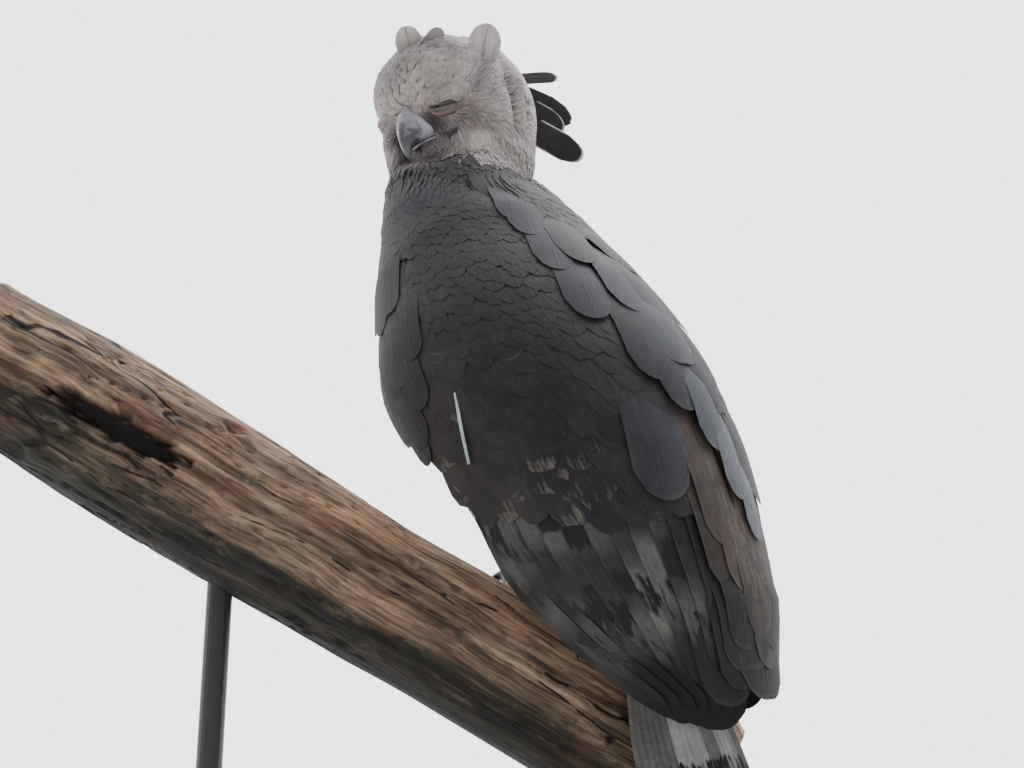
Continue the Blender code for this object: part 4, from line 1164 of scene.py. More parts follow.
def tail_group():
    number = np.arange(TAIL_FEATHERS)
    middle = (TAIL_FEATHERS - 1) / 2
    place = ((number - middle) / middle)[:, None]
    length = TAIL_LENGTH * (1.0 - 0.05 * place**2)
    depth = 0.0019 * np.abs(number - middle + 0.25)[:, None]
    v = np.linspace(0.0, 1.0, 12)[None]
    narrow, wide = TAIL_HALF_WIDTHS
    across = place * (narrow + (wide - narrow) * v)
    down = HIDDEN_ROOT + (length - HIDDEN_ROOT) * v
    centre = np.stack([depth + 6.0 * across**2, across, -down], axis=-1)
    side = np.stack([12.0 * across, 1.0 + 0 * across, 0 * across], axis=-1)
    side /= np.linalg.norm(side, axis=-1, keepdims=True)
    tilt = 0.05 * np.sign(place)[..., None]
    out = np.stack([-side[..., 1], side[..., 0], 0 * across], axis=-1)
    side, out = side - tilt * out, out + tilt * side
    frame_of_tail = tail_frame()
    stations = moved(centre, frame_of_tail), turned(side, frame_of_tail), turned(out, frame_of_tail)
    form = dict(thick=0.0009, tip=0.55, root=0.4, camber=3.0, ragged=0.010, seed=5)
    group = bent(slab(8, 26), stations, 0.040, **form)
    down = HIDDEN_ROOT + group["lie"][..., 1]
    band = 0.0
    for low, high in TAIL_BANDS:
        begins = smooth(low - BAND_EDGE, low + BAND_EDGE, down)
        band = band + begins * smooth(high + BAND_EDGE, high - BAND_EDGE, down)
    group["dark"] = 0.62 * band
    middle_pair = smooth(0.50, 0.15, np.abs(place + 0.35))  # the outer feathers are in shade and darker
    shade = (0.35 + 0.65 * middle_pair)[..., None]
    group["dye"] = blend("#85827f", "#95928e", smooth(0.30, 0.37, down)) * shade
    group["rim"] = 0.5
    group["place"] = np.stack([0.1 + number / 14.0, 0.02 + 0 * number], axis=-1)
    group["patch"] = 0.04
    return group


tail = coat("tail_feathers", [tail_group()], slate_feather)
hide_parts("tail")


# %% [markdown]
# ## Coat of the body and the head
# Small feathers grow from the skin everywhere else. Their roots are scattered over it at an even spacing,
# and each feather is laid along the skin, down the body and away from the bill. The nearest point of the
# skin gives every station its height, so the coat follows each hollow.

# %% Scattering roots
AROUND = [(i, j, k) for i in (-1, 0, 1) for j in (-1, 0, 1) for k in (-1, 0, 1)]  # a box and its neighbours
CROWDING = 0.62  # a root keeps away from the others by the root of this share of the spacing
TRIES = 4.0  # random spots tried for every root that would fit


def scattered(spacing, keep, seed):
    """Points of the skin that are about that far apart, where keep(points) is true."""
    mesh = skin.data
    mesh.calc_loop_triangles()
    corners = np.empty(len(mesh.loop_triangles) * 3, dtype=np.int32)
    mesh.loop_triangles.foreach_get("vertices", corners)
    triangles = points_of(mesh)[corners.reshape(-1, 3)]
    triangles = triangles[keep(triangles.mean(axis=1))]
    first, second = triangles[:, 1] - triangles[:, 0], triangles[:, 2] - triangles[:, 0]
    area = np.linalg.norm(np.cross(first, second), axis=1) / 2
    chance = np.random.default_rng(seed)
    tries = int(area.sum() / spacing**2 * TRIES)
    chosen = triangles[chance.choice(len(triangles), tries, p=area / area.sum())]
    u, v = chance.random((2, tries, 1))
    u, v = np.where(u + v > 1, 1 - u, u), np.where(u + v > 1, 1 - v, v)
    spots = chosen[:, 0] + (chosen[:, 1] - chosen[:, 0]) * u + (chosen[:, 2] - chosen[:, 0]) * v
    cells = {}
    kept = []
    for spot in spots:
        cell = tuple((spot / spacing).astype(int))
        near = [cells.get((cell[0] + i, cell[1] + j, cell[2] + k), ()) for i, j, k in AROUND]
        if all(((spot - other) ** 2).sum() > spacing**2 * CROWDING for box in near for other in box):
            cells.setdefault(cell, []).append(spot)
            kept.append(spot)
    return np.array(kept)


# %% Laying feathers along the skin
def on_skin(roots, flow, length, lift, steps=4, wander=0.10, puff=0.0, seed=0):
    """Stations that creep along the skin from each root, the way that flow(point) says."""
    chance = random.Random(seed)
    shape = (len(roots), steps, 3)
    centre, across, out = np.empty(shape), np.empty(shape), np.empty(shape)
    for k, root in enumerate(roots):
        spot, here = Vector(root), Vector(root)
        turn = Matrix.Rotation(chance.uniform(-wander, wander), 3, Vector((0, 0, 1)))
        for step in range(steps):
            near, normal, _, _ = skin_tree.find_nearest(spot)
            way = turn @ flow(here)
            way = (way - way.dot(normal) * normal).normalized()
            here = near
            share = step / (steps - 1)
            rise = lift[0] + (lift[1] - lift[0]) * share + puff * math.sin(math.pi * share)
            centre[k, step] = near + normal * rise
            across[k, step] = way.cross(normal)
            out[k, step] = normal
            spot = near + way * (length[k] / (steps - 1))
    return centre, across, out


# %% [markdown]
# A bird has tracts: the head, the neck, the body and the thighs each carry their own kind of feather.
# Each tract is a rule on places, since a painted mask would need a picture.

# %% Where each kind of feather grows
COLLAR = 0.786  # height where the pale hood ends
HEAD_AXIS, HEAD_REACH = (0.036, 0.044), 0.085
NECK_FROM = 0.318  # place along the back
THIGH_RADIUS = 0.050


def is_head(points):
    """Head and hood, above the collar."""
    off_axis = np.hypot(points[..., 0] - HEAD_AXIS[0], points[..., 1] - HEAD_AXIS[1])
    return (points[..., 2] > COLLAR) & (off_axis < HEAD_REACH)


def is_thigh(points):
    found = np.zeros(points.shape[:-1], dtype=bool)
    for uphill, turn, hip_place in FEET.values():
        hip = np.array(bird_to_world @ hip_place)
        sole = np.array(branch_point(uphill, turn, BRANCH_RADIUS + SOLE))
        way = sole - hip
        share = ((points - hip) @ way) / (way @ way)
        off = np.linalg.norm(points - hip - share[..., None] * way, axis=-1)
        found |= (share > 0.22) & (off < THIGH_RADIUS)
    return found


def is_body(points):
    """The body outside the wings."""
    height, angle = wing_place(points)
    front = look_up(edge_curve, height)[1]
    covered = (np.abs(angle) < front - 14.0) & (height > -0.02) & (height < 0.350)
    return ~covered & ~is_head(points) & ~is_thigh(points)


def is_neck(points):
    return is_body(points) & (in_frame(points, bird_to_world)[..., 2] > NECK_FROM)


# %% Which way the feathers lie
bird_down = bird_to_world.to_3x3() @ Vector((0.0, 0.0, -1.0))
bill_base = head_to_world @ Vector((0.050, 0.0, -0.010))


def body_flow(point):
    return bird_down


def head_flow(point):
    """Away from the bill over the face and crown, and down over the hood."""
    back = (point - bill_base).normalized()
    hang = float(smooth(0.850, 0.800, point.z))
    return back * (1 - hang) + Vector((0.0, 0.0, -1.0)) * hang


def thigh_flow(point):
    nearest = min(FEET, key=lambda foot: (bird_to_world @ FEET[foot][2] - point).length)
    uphill, turn, hip_place = FEET[nearest]
    return branch_point(uphill, turn, BRANCH_RADIUS) - bird_to_world @ hip_place


print("feathers of the head flow away from", tuple(round(value, 3) for value in bill_base))

# %% [markdown]
# The markings are rules on places too, so that the skin and the coat over it can ask the same question
# and get the same colour. On the head each mark is a soft spot with a place, a reach, a colour and a
# strength.

# %% Markings that skin and coat share
def body_dye(points):
    """White belly and thighs, a black breast band, and a slate back and neck."""
    local = in_frame(points, bird_to_world)
    front = smooth(-0.02, 0.03, local[..., 0])
    white = smooth(0.262, 0.236, local[..., 2]) * front
    colour = blend("#262323", "#d9d4cb", white)
    collar = smooth(0.745, 0.775, points[..., 2])[..., None]
    return colour * (1 - collar) + np.array(linear("#2f2b2b")) * collar


HEAD_TONES = (  # place on the left side of the head, reach, colour, strength
    ((0.045, 0.021, -0.024), 0.022, "#282423", 0.90),
    ((0.041, 0.030, -0.013), 0.010, "#2e2b29", 0.60),
    ((0.061, 0.020, -0.049), 0.019, "#38332f", 0.80),
    # painted shadow: a darker strip that runs down from the lores
    ((0.052, 0.034, -0.046), 0.014, "#4a4442", 0.60),
    ((0.022, 0.055, -0.038), 0.028, "#5b5452", 0.75),
    ((0.000, 0.060, -0.030), 0.018, "#7b7270", 0.50),
    ((0.030, 0.050, -0.060), 0.020, "#c0b6b0", 0.60),
    ((-0.022, 0.062, -0.012), 0.012, "#6e6461", 0.50),
    ((0.006, 0.046, 0.034), 0.022, "#756b6a", 0.60),
)
GAPE = ((0.044, 0.010, -0.036), (0.034, 0.018, -0.0365), (0.0330, 0.0256, -0.0372), (0.0344, 0.0345, -0.0382))


def near_line(local, corners, reach):
    """How near points lie to a line on the side of the head, from 0 to 1."""
    off = np.linalg.norm(local[..., None, :] - along_line(corners, 16), axis=-1).min(axis=-1)
    return smooth(reach, 0.4 * reach, off)


def head_dye(points):
    """Pale mauve grey, darker on the crown and lores, palest on cheeks and throat; a painted shadow below the
    lores.
    """
    local = in_frame(points, head_to_world)
    local[..., 1] = np.abs(local[..., 1])
    crown = smooth(0.010, 0.040, local[..., 2])
    colour = blend("#8d8381", "#827876", crown)
    for place, reach, tone, strength in HEAD_TONES:
        off = np.linalg.norm(local - np.array(place), axis=-1)[..., None]
        share = smooth(reach, 0.25 * reach, off) * strength
        colour = colour * (1 - share) + np.array(linear(tone)) * share
    mouth = near_line(local, GAPE, 0.0050)[..., None] * 0.85
    return colour * (1 - mouth) + np.array(linear("#1f1c1c")) * mouth


def round_place(points, matrix, height):
    """Place on an unwrap round the upright axis of a frame: angle and height, from 0 to 1."""
    x, y, z = np.moveaxis(in_frame(points, matrix), -1, 0)
    return np.stack([0.5 + np.arctan2(y, x) / 6.4, 0.3 + z / height], axis=-1)


print(len(HEAD_TONES), "soft spots on each side of the head")

# %% [markdown]
# One function makes the coat of any tract: it scatters the roots, lays a feather from each and dyes it.
# The body's feathers are long and soft and lie over each other, the neck's are small, and fine black bars
# cross the white ones of the thighs.

# %% The body's coat
THIGH_BARS = 0.009  # from bar to bar


def skin_group(shape, spacing, keep, flow, length, width, lift, seed, dye, matrix, height, puff=0.0, **form):
    """The coat of one tract. The matrix and the height belong to the unwrap that its map is made by."""
    roots = scattered(spacing, keep, seed)
    chance = np.random.default_rng(seed + 1)
    lengths = length * chance.uniform(0.85, 1.2, len(roots))
    stations = on_skin(roots, flow, lengths, lift, puff=puff, seed=seed + 2)
    group = bent(shape, stations, width * chance.uniform(0.85, 1.15, len(roots)), seed=seed, **form)
    tone = chance.uniform(0.90, 1.10, (len(roots), 1, 1))
    group["dye"] = dye(group["points"]) * tone
    group["place"] = round_place(roots, matrix, height)
    return group


def is_trunk(points):
    return is_body(points) & ~is_neck(points)


on_body = dict(dye=body_dye, matrix=bird_to_world, height=0.8)
body = skin_group(
    plume_slab, 0.0090, is_trunk, body_flow, **on_body,
    length=0.034, width=0.019, lift=(0.0004, 0.0058), seed=101, camber=10.0, ragged=0.08,
)
neck = skin_group(
    plume_slab, 0.0052, is_neck, body_flow, **on_body,
    length=0.022, width=0.0080, lift=(0.0004, 0.0022), seed=105, camber=12.0, ragged=0.12, tip=1.4,
)
thigh = skin_group(
    plume_slab, 0.0068, is_thigh, thigh_flow, **on_body,
    length=0.026, width=0.013, lift=(0.0004, 0.0050), seed=111, camber=10.0, ragged=0.10,
)
thigh["dark"] = 0.62 * smooth(0.1, 0.8, np.sin(thigh["lie"][..., 1] * 2 * np.pi / THIGH_BARS))
coat("body_feathers", [body, neck], white_feather)
coat("thigh_feathers", [thigh], white_feather)


# %% [markdown]
# The head has five kinds of small feather: round cushions on the forehead, softer ones over the crown,
# short hair-like ones on the brow and the disc, bristles between bill and eye, and loose longer ones in
# the hood.

# %% Parts of the head
HOOD_TOP = 0.822
CROWN_LOW = 0.845


def is_crown(points):
    local = in_frame(points, head_to_world)
    high = (local[..., 2] > 0.012) | (local[..., 0] < -0.030)
    return is_head(points) & high & (points[..., 2] > CROWN_LOW)


def is_hood(points):
    return is_head(points) & (points[..., 2] < HOOD_TOP)


def round_eye(points, rise, half_long, half_high, depth):
    """Points in an oval round either eye, whose middle lies that much over the eye's."""
    found = np.zeros(points.shape[:-1], dtype=bool)
    for side in (1, -1):
        x, y, z = in_frame(points, head_to_world @ eye_frame(side)).T
        found |= ((x / half_long) ** 2 + ((y - rise) / half_high) ** 2 < 1.0) & (z > -depth)
    return found


def is_bare(points):
    """The bill, and the eyes within their lids."""
    bill = at_bill(in_frame(points, head_to_world)) > 0.25
    return bill | round_eye(points, -0.0045, 0.0180, 0.0068, 0.0)


def is_brow(points):
    """The brow's lower edge over each eye, where the feathers are finest."""
    return round_eye(points, 0.0040, 0.0225, 0.0110, 0.004) & ~is_bare(points)


def is_shield(points):
    """The forehead and the front of the crown, up to the groove behind the brow."""
    local = in_frame(points, head_to_world)
    x, z = local[..., 0], local[..., 2]
    over_brow = z > -0.008 + 0.018 * smooth(0.036, 0.016, x)
    in_front = x > 0.014 - 0.3 * z
    return is_head(points) & over_brow & in_front & ~is_bare(points) & ~is_brow(points)


def is_top(points):
    return is_crown(points) & ~is_shield(points) & ~is_brow(points)


def is_face(points):
    elsewhere = is_crown(points) | is_hood(points) | is_shield(points) | is_bare(points)
    return is_head(points) & ~elsewhere


LORES, LORES_REACH = (0.040, 0.028, -0.024), 0.019


def is_near_eye(points):
    """Short bristles from the bill to the eye."""
    local = in_frame(points, head_to_world)
    local[..., 1] = np.abs(local[..., 1])
    off = np.linalg.norm(local - np.array(LORES), axis=-1)
    return is_face(points) & ~is_brow(points) & (off < LORES_REACH)


def is_disc(points):
    return is_face(points) & ~is_near_eye(points) & ~is_brow(points)


# %% The head's coat
on_the_head = dict(dye=head_dye, matrix=Matrix.Translation(HEAD_CENTRE), height=0.3)
shield = skin_group(
    slab(5, 7), 0.0053, is_shield, head_flow, **on_the_head,
    length=0.0115, width=0.0082, lift=(-0.0006, 0.0009), seed=121, puff=0.0022, camber=54.0, thick=0.0004,
)
brow_tufts = skin_group(
    tuft_slab, 0.0023, is_brow, head_flow, **on_the_head,
    length=0.0070, width=0.0032, lift=(0.0001, 0.0009), seed=123, camber=20.0, thick=0.0003,
)
top = skin_group(
    plume_slab, 0.0046, is_top, head_flow, **on_the_head,
    length=0.0130, width=0.0078, lift=(0.0002, 0.0018), seed=122, puff=0.0008, camber=34.0, thick=0.0004,
)
face = skin_group(
    tuft_slab, 0.0027, is_disc, head_flow, **on_the_head,
    length=0.0100, width=0.0034, lift=(0.0001, 0.0010), seed=131, camber=20.0, thick=0.0003,
)
bristles = skin_group(
    tuft_slab, 0.0021, is_near_eye, head_flow, **on_the_head,
    length=0.0052, width=0.0018, lift=(0.0001, 0.0012), seed=132, camber=10.0, thick=0.0003,
)
hood = skin_group(
    plume_slab, 0.0033, is_hood, head_flow, **on_the_head,
    length=0.019, width=0.0044, lift=(0.0002, 0.0022), seed=141,
    camber=16.0, thick=0.0003, ragged=0.25, tip=1.8,
)
shield["rim"] = 0.10
coat("crown_feathers", [shield, top, brow_tufts], pale_feather, crisp=False)
coat("face_feathers", [face, bristles], pale_feather, crisp=False)
coat("hood_feathers", [hood], pale_feather, crisp=False)


# %% [markdown]
# The skin carries the same markings as the coat over it, so that no gap between two feathers shows.

# %% The skin's own marks
UNDER_COAT = 0.8  # the skin is a little darker, as it lies in the coat's shade
skin_at = points_of(skin.data)
skin_dye = np.where(is_head(skin_at)[:, None], head_dye(skin_at), body_dye(skin_at)) * UNDER_COAT
mark(skin.data, "dye", skin_dye)
mark(skin.data, "lie", skin_at)
skin.data.materials.append(pale_feather)
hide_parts("torso", "neck", "head", "thigh_left", "thigh_right")
print("skin marks on", len(skin_at), "points")


# %% [markdown]
# ## Crest
# The double crest is the mark of this eagle. Short pale feathers stand up from the crown, and long black
# ones with a white rim stand out behind the nape.

# %% Crest
FACING_OUT = (0.713, 0.693, -0.116)  # the broad side of the feathers on the left, in the head's frame
PALE, GREY, BLACK = ("#8f8684", "#aaa09d"), ("#625b5b", "#777070"), ("#242123", "#161517")  # root and tip
TOP_BLACK, FAR_BLACK = ("#2b282a", "#1c1a1c"), ("#2c292b", "#1e1c1e")
CREST = (  # root, tip, broad side, width, colours, rim, rise of the arch, dark shaft
    ((0.022, 0.012, 0.040), (0.0187, 0.0168, 0.0715), FACING_OUT, 0.025, PALE, 0.9, 0.06, 0.62),
    ((0.026, 0.024, 0.037), (0.0040, 0.0445, 0.0533), FACING_OUT, 0.016, GREY, 0.7, 0.05, 0.40),
    ((-0.012, 0.050, 0.004), (-0.0345, 0.0640, 0.0415), FACING_OUT, 0.030, PALE, 0.9, 0.05, 0.62),
    ((0.010, -0.024, 0.036), (-0.008, -0.030, 0.052), (0.7, -0.69, 0.0), 0.020, PALE, 0.9, 0.06, 0.62),
    ((-0.014, -0.046, 0.016), (-0.034, -0.058, 0.050), (0.5, -0.80, 0.1), 0.027, PALE, 0.9, 0.05, 0.50),
    ((-0.054, 0.018, -0.004), (-0.131, 0.031, -0.022), (0.5, 0.80, 0.2), 0.012, TOP_BLACK, 1.0, 0.03, 0.0),
    ((-0.050, 0.024, -0.012), (-0.119, 0.034, -0.068), (0.55, 0.80, 0.0), 0.028, BLACK, 0.9, 0.04, 0.0),
    ((-0.046, 0.030, -0.022), (-0.100, 0.037, -0.074), (0.60, 0.80, 0.0), 0.024, BLACK, 1.0, 0.05, 0.0),
    ((-0.046, 0.024, -0.040), (-0.110, 0.035, -0.106), (0.58, 0.80, 0.0), 0.026, BLACK, 0.9, 0.05, 0.0),
    ((-0.056, -0.010, 0.000), (-0.130, -0.012, -0.026), (0.3, 0.10, 0.95), 0.028, FAR_BLACK, 1.0, 0.08, 0.0),
    ((-0.050, -0.028, -0.010), (-0.116, -0.044, -0.050), (0.4, -0.90, 0.2), 0.027, FAR_BLACK, 1.0, 0.06, 0.0),
    ((-0.050, -0.020, -0.030), (-0.112, -0.026, -0.086), (0.4, -0.90, 0.1), 0.027, FAR_BLACK, 1.0, 0.06, 0.0),
)


def crest_group(number, root, tip, facing, width, tones, rim, arch, shaft):
    start, away = Vector(root), Vector(tip) - Vector(root)
    side = away.cross(Vector(facing)).normalized()
    up = side.cross(away).normalized()
    steps = np.linspace(0.0, 1.0, 9)
    rise = arch * away.length * np.sin(np.pi * steps)
    centre = (np.array(start) + steps[:, None] * np.array(away) + rise[:, None] * np.array(up))[None]
    stations = (
        moved(centre, head_to_world),
        turned(np.broadcast_to(np.array(side), centre.shape), head_to_world),
        turned(np.broadcast_to(np.array(up), centre.shape), head_to_world),
    )
    pointed = 1.2 if shaft else 2.3
    form = dict(thick=0.0007, tip=pointed, root=0.3, camber=9.0, ragged=0.02, seed=200 + number)
    group = bent(flight_slab, stations, width, **form)
    group["dye"] = blend(*tones, smooth(0.2, 0.8, group["v"]))
    group["dark"] = shaft * (np.abs(group["vane"][..., 0] - 0.5) < 0.02)
    group["rim"] = rim
    group["place"] = np.array([[0.05 + 0.075 * number, 0.9]])
    group["patch"] = 0.03
    return group


crest = [crest_group(number, *feather) for number, feather in enumerate(CREST)]
coat("crest_feathers", crest, pale_feather)


# %% [markdown]
# ## Eyes
# The lids are nearly closed, so the eye is a dark slit under the brow. The ball is still a whole eye: a
# dark brown iris with a round pupil under a clear wet film. Its colours lie in rings round the way it
# looks, so they are read from an attribute that holds the angle from that way.

# %% Eyeballs
def eye_material():
    """Wet eye: a glossy clear film over the brown iris."""
    made, tree, shader = new_material("brown eye, wet cornea")
    ring = add(tree, "Attribute", out="Fac", attribute_name="ring")
    coords = add(tree, "TexCoord", out="Object")
    grain = add(tree, "TexNoise", {"Vector": coords, "Scale": 1400.0, "Detail": 2.0})
    wavy = add(tree, "Math", {0: grain, 1: 0.10, 2: ring}, operation="MULTIPLY_ADD")
    stops = ((0.30, "#040404"), (0.35, "#1c120b"), (0.52, "#332013"), (0.62, "#120d0a"), (0.80, "#1d1916"))
    colour = add(tree, "ValToRGB", {0: wavy}, stops=stops)
    surface = {
        "Base Color": colour, "Roughness": 0.25, "Specular IOR Level": 0.2, "Coat Weight": 0.35,
        "Coat Roughness": 0.03,
    }
    plug(shader, surface)
    return made


def eyeball(side, material):
    bm = ball(lambda way: way * EYE_RADIUS * (1.0 + 0.06 * smooth(0.75, 1.0, way.z)), 48, 32)
    turns = [vertex.co.normalized().angle(Vector((0.0, 0.0, 1.0))) for vertex in bm.verts]
    name = "eyeball_left" if side > 0 else "eyeball_right"
    made = piece(shifted(bm, head_to_world @ eye_frame(side)), name, material)
    mark(made.data, "ring", turns)
    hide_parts("eye_left" if side > 0 else "eye_right")
    return made


wet_eye = eye_material()
eyeballs = [eyeball(1, wet_eye), eyeball(-1, wet_eye)]
print([made.name for made in eyeballs], "radius", EYE_RADIUS)

# %% [markdown]
# The lids are rings of bare skin round the slit. The inner edge follows the ball, the outer edge is found
# by a ray that meets the skin, and the roll between them stands out a little.

# %% Lids
LID_REACH = (0.0142, 0.0180)  # half length of the slit, and of the lids
LID_DROP = -0.0030  # the bird looks down, so the slit lies below the middle of the eye
UPPER_LID, LOWER_LID = (0.0034, 0.0060), (-0.0008, -0.0125)  # inner and outer height of each


def lid_material():
    """Bare eyelid skin: finely pebbled and slightly moist; the upper lid is painted near black, as the brow's
    shadow.
    """
    made, tree, shader = new_material("bare eyelid skin")
    coords = add(tree, "TexCoord", out="Object")
    pebbles = add(tree, "TexVoronoi", {"Vector": coords, "Scale": 900.0})
    patches = add(tree, "TexNoise", {"Vector": coords, "Scale": 160.0, "Detail": 3.0})
    edge = add(tree, "Attribute", out="Fac", attribute_name="edge")
    share = add(tree, "Math", {0: patches, 1: 0.5, 2: edge}, operation="MULTIPLY_ADD")
    # Painted shade: the lowest values give the near-black #1a1818 of the upper lid, as in the brow's shadow
    stops = ((0.26, "#1a1818"), (0.46, "#43443a"), (0.80, "#55544a"), (1.0, "#8a6f6b"), (1.2, "#5f5551"))
    colour = add(tree, "ValToRGB", {0: share}, stops=stops)
    lift = add(tree, "Bump", {"Height": pebbles, "Strength": 0.5, "Distance": 0.0004})
    plug(shader, {"Base Color": colour, "Normal": lift, "Roughness": 0.45})
    return made


LID_GAP = 0.0004  # between the ball and the lid
LID_ROLL = 0.0012  # how far the lower lid bulges
BROW_COVER = 0.0032  # how far the upper lid's outer edge goes in under the brow


def lids(side, material):
    frame_of_eye = head_to_world @ eye_frame(side)
    turn = frame_of_eye.to_3x3()
    edges = []

    def point(u, v):
        t = 2 * math.pi * u
        low, high = UPPER_LID if math.sin(t) >= 0 else LOWER_LID
        share = max(v - 0.15, 0.0) / 0.85
        x = (LID_REACH[0] + (LID_REACH[1] - LID_REACH[0]) * share) * math.cos(t)
        y = LID_DROP * (1 - share) + (low + (high - low) * share) * abs(math.sin(t))
        inner = math.sqrt(max((EYE_RADIUS + LID_GAP) ** 2 - x * x - y * y, 0.0055**2))
        start = frame_of_eye @ Vector((x, y, 0.04))
        hit, _, _, _ = skin_tree.ray_cast(start, turn @ Vector((0.0, 0.0, -1.0)))
        outer = (frame_of_eye.inverted() @ hit).z if hit else inner
        outer += -BROW_COVER if math.sin(t) >= 0 else LID_GAP
        z = inner * (1 - smooth(0.0, 1.0, share)) + outer * smooth(0.0, 1.0, share)
        z = max(z, math.sqrt(max((EYE_RADIUS + 0.0005) ** 2 - x * x - y * y, 0.0)))
        z += (LID_ROLL if math.sin(t) < 0 else 0.0) * math.sin(math.pi * share)
        z -= 0.0030 * max(0.15 - v, 0.0) / 0.15  # the rim turns in
        # Painted shade: the upper lid keeps a fifth of the share, so it takes the near black of the brow's
        # shadow
        edges.append(share if math.sin(t) < 0 else 0.2 * share)
        return frame_of_eye @ Vector((x, y, z))

    bm = bmesh.new()
    bmesh.ops.create_grid(bm, x_segments=64, y_segments=12, size=0.5)
    for vertex in bm.verts:
        vertex.co = point(vertex.co.x + 0.5, vertex.co.y + 0.5)
    layer = bm.verts.layers.float.new("edge")
    for vertex, share in zip(bm.verts, edges):
        vertex[layer] = share
    bmesh.ops.remove_doubles(bm, verts=bm.verts, dist=1e-6)
    bmesh.ops.recalc_face_normals(bm, faces=bm.faces)
    made = piece(bm, "lids_left" if side > 0 else "lids_right", material)
    wall = made.modifiers.new("wall", "SOLIDIFY")
    wall.thickness, wall.offset = 0.0006, 0.0
    applied(made)
    made.data.shade_smooth()
    return made


eyelid = lid_material()
print([lids(side, eyelid).name for side in (1, -1)], "slit", 2 * LID_REACH[0], "m long")


# %% [markdown]
# ## Bill
# The bill is horn over bone. The upper half is lofted over its side view and hooks down at the tip, with
# the softer cere over its root, where the nostril opens. The lower half closes under it.

# %% Horn
def horn_material(name, body, tip, ridge):
    """Keratin horn: polished by use, with fine growth lines, a painted highlight along the bill's ridge and
    faint wear on the claws.
    """
    made, tree, shader = new_material(name)
    coords = add(tree, "TexCoord", out="Object")
    end = add(tree, "Attribute", out="Fac", attribute_name="end")
    # Painted highlight: on the bill the 'worn' mark says where a pale highlight is painted; on the claws it
    # is even wear
    worn = add(tree, "Attribute", out="Fac", attribute_name="worn")
    clouds = add(tree, "TexNoise", {"Vector": coords, "Scale": 130.0, "Detail": 4.0})
    grain = add(tree, "TexNoise", {"Vector": coords, "Scale": 1500.0, "Detail": 2.0})
    share = add(tree, "Math", {0: clouds, 1: 0.7, 2: end}, operation="MULTIPLY_ADD")
    colour = add(tree, "ValToRGB", {0: share}, stops=((0.35, body), (0.75, body), (1.3, tip)))
    patchy = add(tree, "MapRange", {0: clouds, 1: 0.35, 2: 0.62})
    highlight_and_wear = add(tree, "Math", {0: patchy, 1: worn}, operation="MULTIPLY")
    colour = add(tree, "Mix", {0: highlight_and_wear, 6: colour, 7: rgba(ridge)}, out=2, data_type="RGBA")
    height = add(tree, "Math", {0: clouds, 1: 2.0, 2: grain}, operation="MULTIPLY_ADD")
    lift = add(tree, "Bump", {"Height": height, "Strength": 0.4, "Distance": 0.0003})
    plug(shader, {"Base Color": colour, "Normal": lift, "Roughness": 0.30})
    return made


# d8d8da is a painted highlight along the bill's ridge and the lower bill's upper edge; #5b5550 is wear on the
# claws
bill_horn = horn_material("slate horn of the bill, keratin", "#999ba0", "#434346", "#d8d8da")
claw_horn = horn_material("black horn of the claws, keratin", "#1d1c1c", "#0f0f10", "#5b5550")


# %% [markdown]
# A side view of the bill gives its ridge and its cutting edge at a few places, and a width says how far
# it bulges between them. Rings through these rows make the loft.

# %% Bill shape
UPPER_BILL = (  # share of the length, ridge x and z, cutting edge x and z, half width
    (0.00, 0.0300, 0.0030, 0.0220, -0.0310, 0.0170),
    (0.20, 0.0460, 0.0018, 0.0360, -0.0315, 0.0136),
    (0.42, 0.0580, -0.0030, 0.0480, -0.0320, 0.0112),
    (0.62, 0.0665, -0.0115, 0.0580, -0.0325, 0.0090),
    (0.80, 0.0712, -0.0222, 0.0635, -0.0340, 0.0062),
    (0.92, 0.0730, -0.0330, 0.0665, -0.0385, 0.0040),
    (1.00, 0.0715, -0.0430, 0.0700, -0.0440, 0.0008),
)
LOWER_BILL = (
    (0.00, 0.0240, -0.0317, 0.0240, -0.0372, 0.0150),
    (0.35, 0.0400, -0.0322, 0.0380, -0.0372, 0.0115),
    (0.70, 0.0530, -0.0328, 0.0500, -0.0372, 0.0078),
    (1.00, 0.0600, -0.0350, 0.0585, -0.0380, 0.0028),
)
NOSTRIL, NOSTRIL_LEAN = Vector((0.0490, 0.0120, -0.0180)), math.radians(-25.0)
NOSTRIL_HALF_SIZES = (0.0044, 0.0017)
CERE_END = 0.30  # share of the bill's length that the cere covers


def bill_point(rows, fullness, u, v):
    ridge_x, ridge_z, edge_x, edge_z, half = through(rows, v)
    ridge, edge = Vector((ridge_x, 0.0, ridge_z)), Vector((edge_x, 0.0, edge_z))
    turn = 2 * math.pi * u
    wide = half * math.sin(turn) * (0.70 - fullness * math.cos(turn)) / 0.80
    return (ridge + edge) / 2 + (ridge - edge) / 2 * math.cos(turn) + Vector((0.0, wide, 0.0))


def upper_point(u, v):
    """Adds the step at the cere's edge, a keel along the ridge and the pit of the nostril."""
    spot = bill_point(UPPER_BILL, 0.45, u, v)
    turn = 2 * math.pi * u
    middle = bill_point(UPPER_BILL, 0.45, 0.0, v).lerp(bill_point(UPPER_BILL, 0.45, 0.5, v), 0.5)
    out = (spot - middle).normalized()
    spot += out * 0.0009 * float(smooth(CERE_END + 0.03, CERE_END - 0.03, v))
    spot += out * 0.0007 * max(math.cos(turn), 0.0) ** 8 * float(smooth(0.0, 0.3, v) * smooth(1.0, 0.8, v))
    off = Vector((spot.x - NOSTRIL.x, 0.0, spot.z - NOSTRIL.z))
    lean = Vector((math.sin(NOSTRIL_LEAN), 0.0, math.cos(NOSTRIL_LEAN)))
    long = off.dot(lean) / NOSTRIL_HALF_SIZES[0]
    short = off.dot(Vector((lean.z, 0.0, -lean.x))) / NOSTRIL_HALF_SIZES[1]
    pit = math.exp(-((long * long + short * short) ** 1.5)) if abs(spot.y) > 0.006 else 0.0
    return spot - Vector((0.0, math.copysign(0.0034 * pit, spot.y), 0.0))


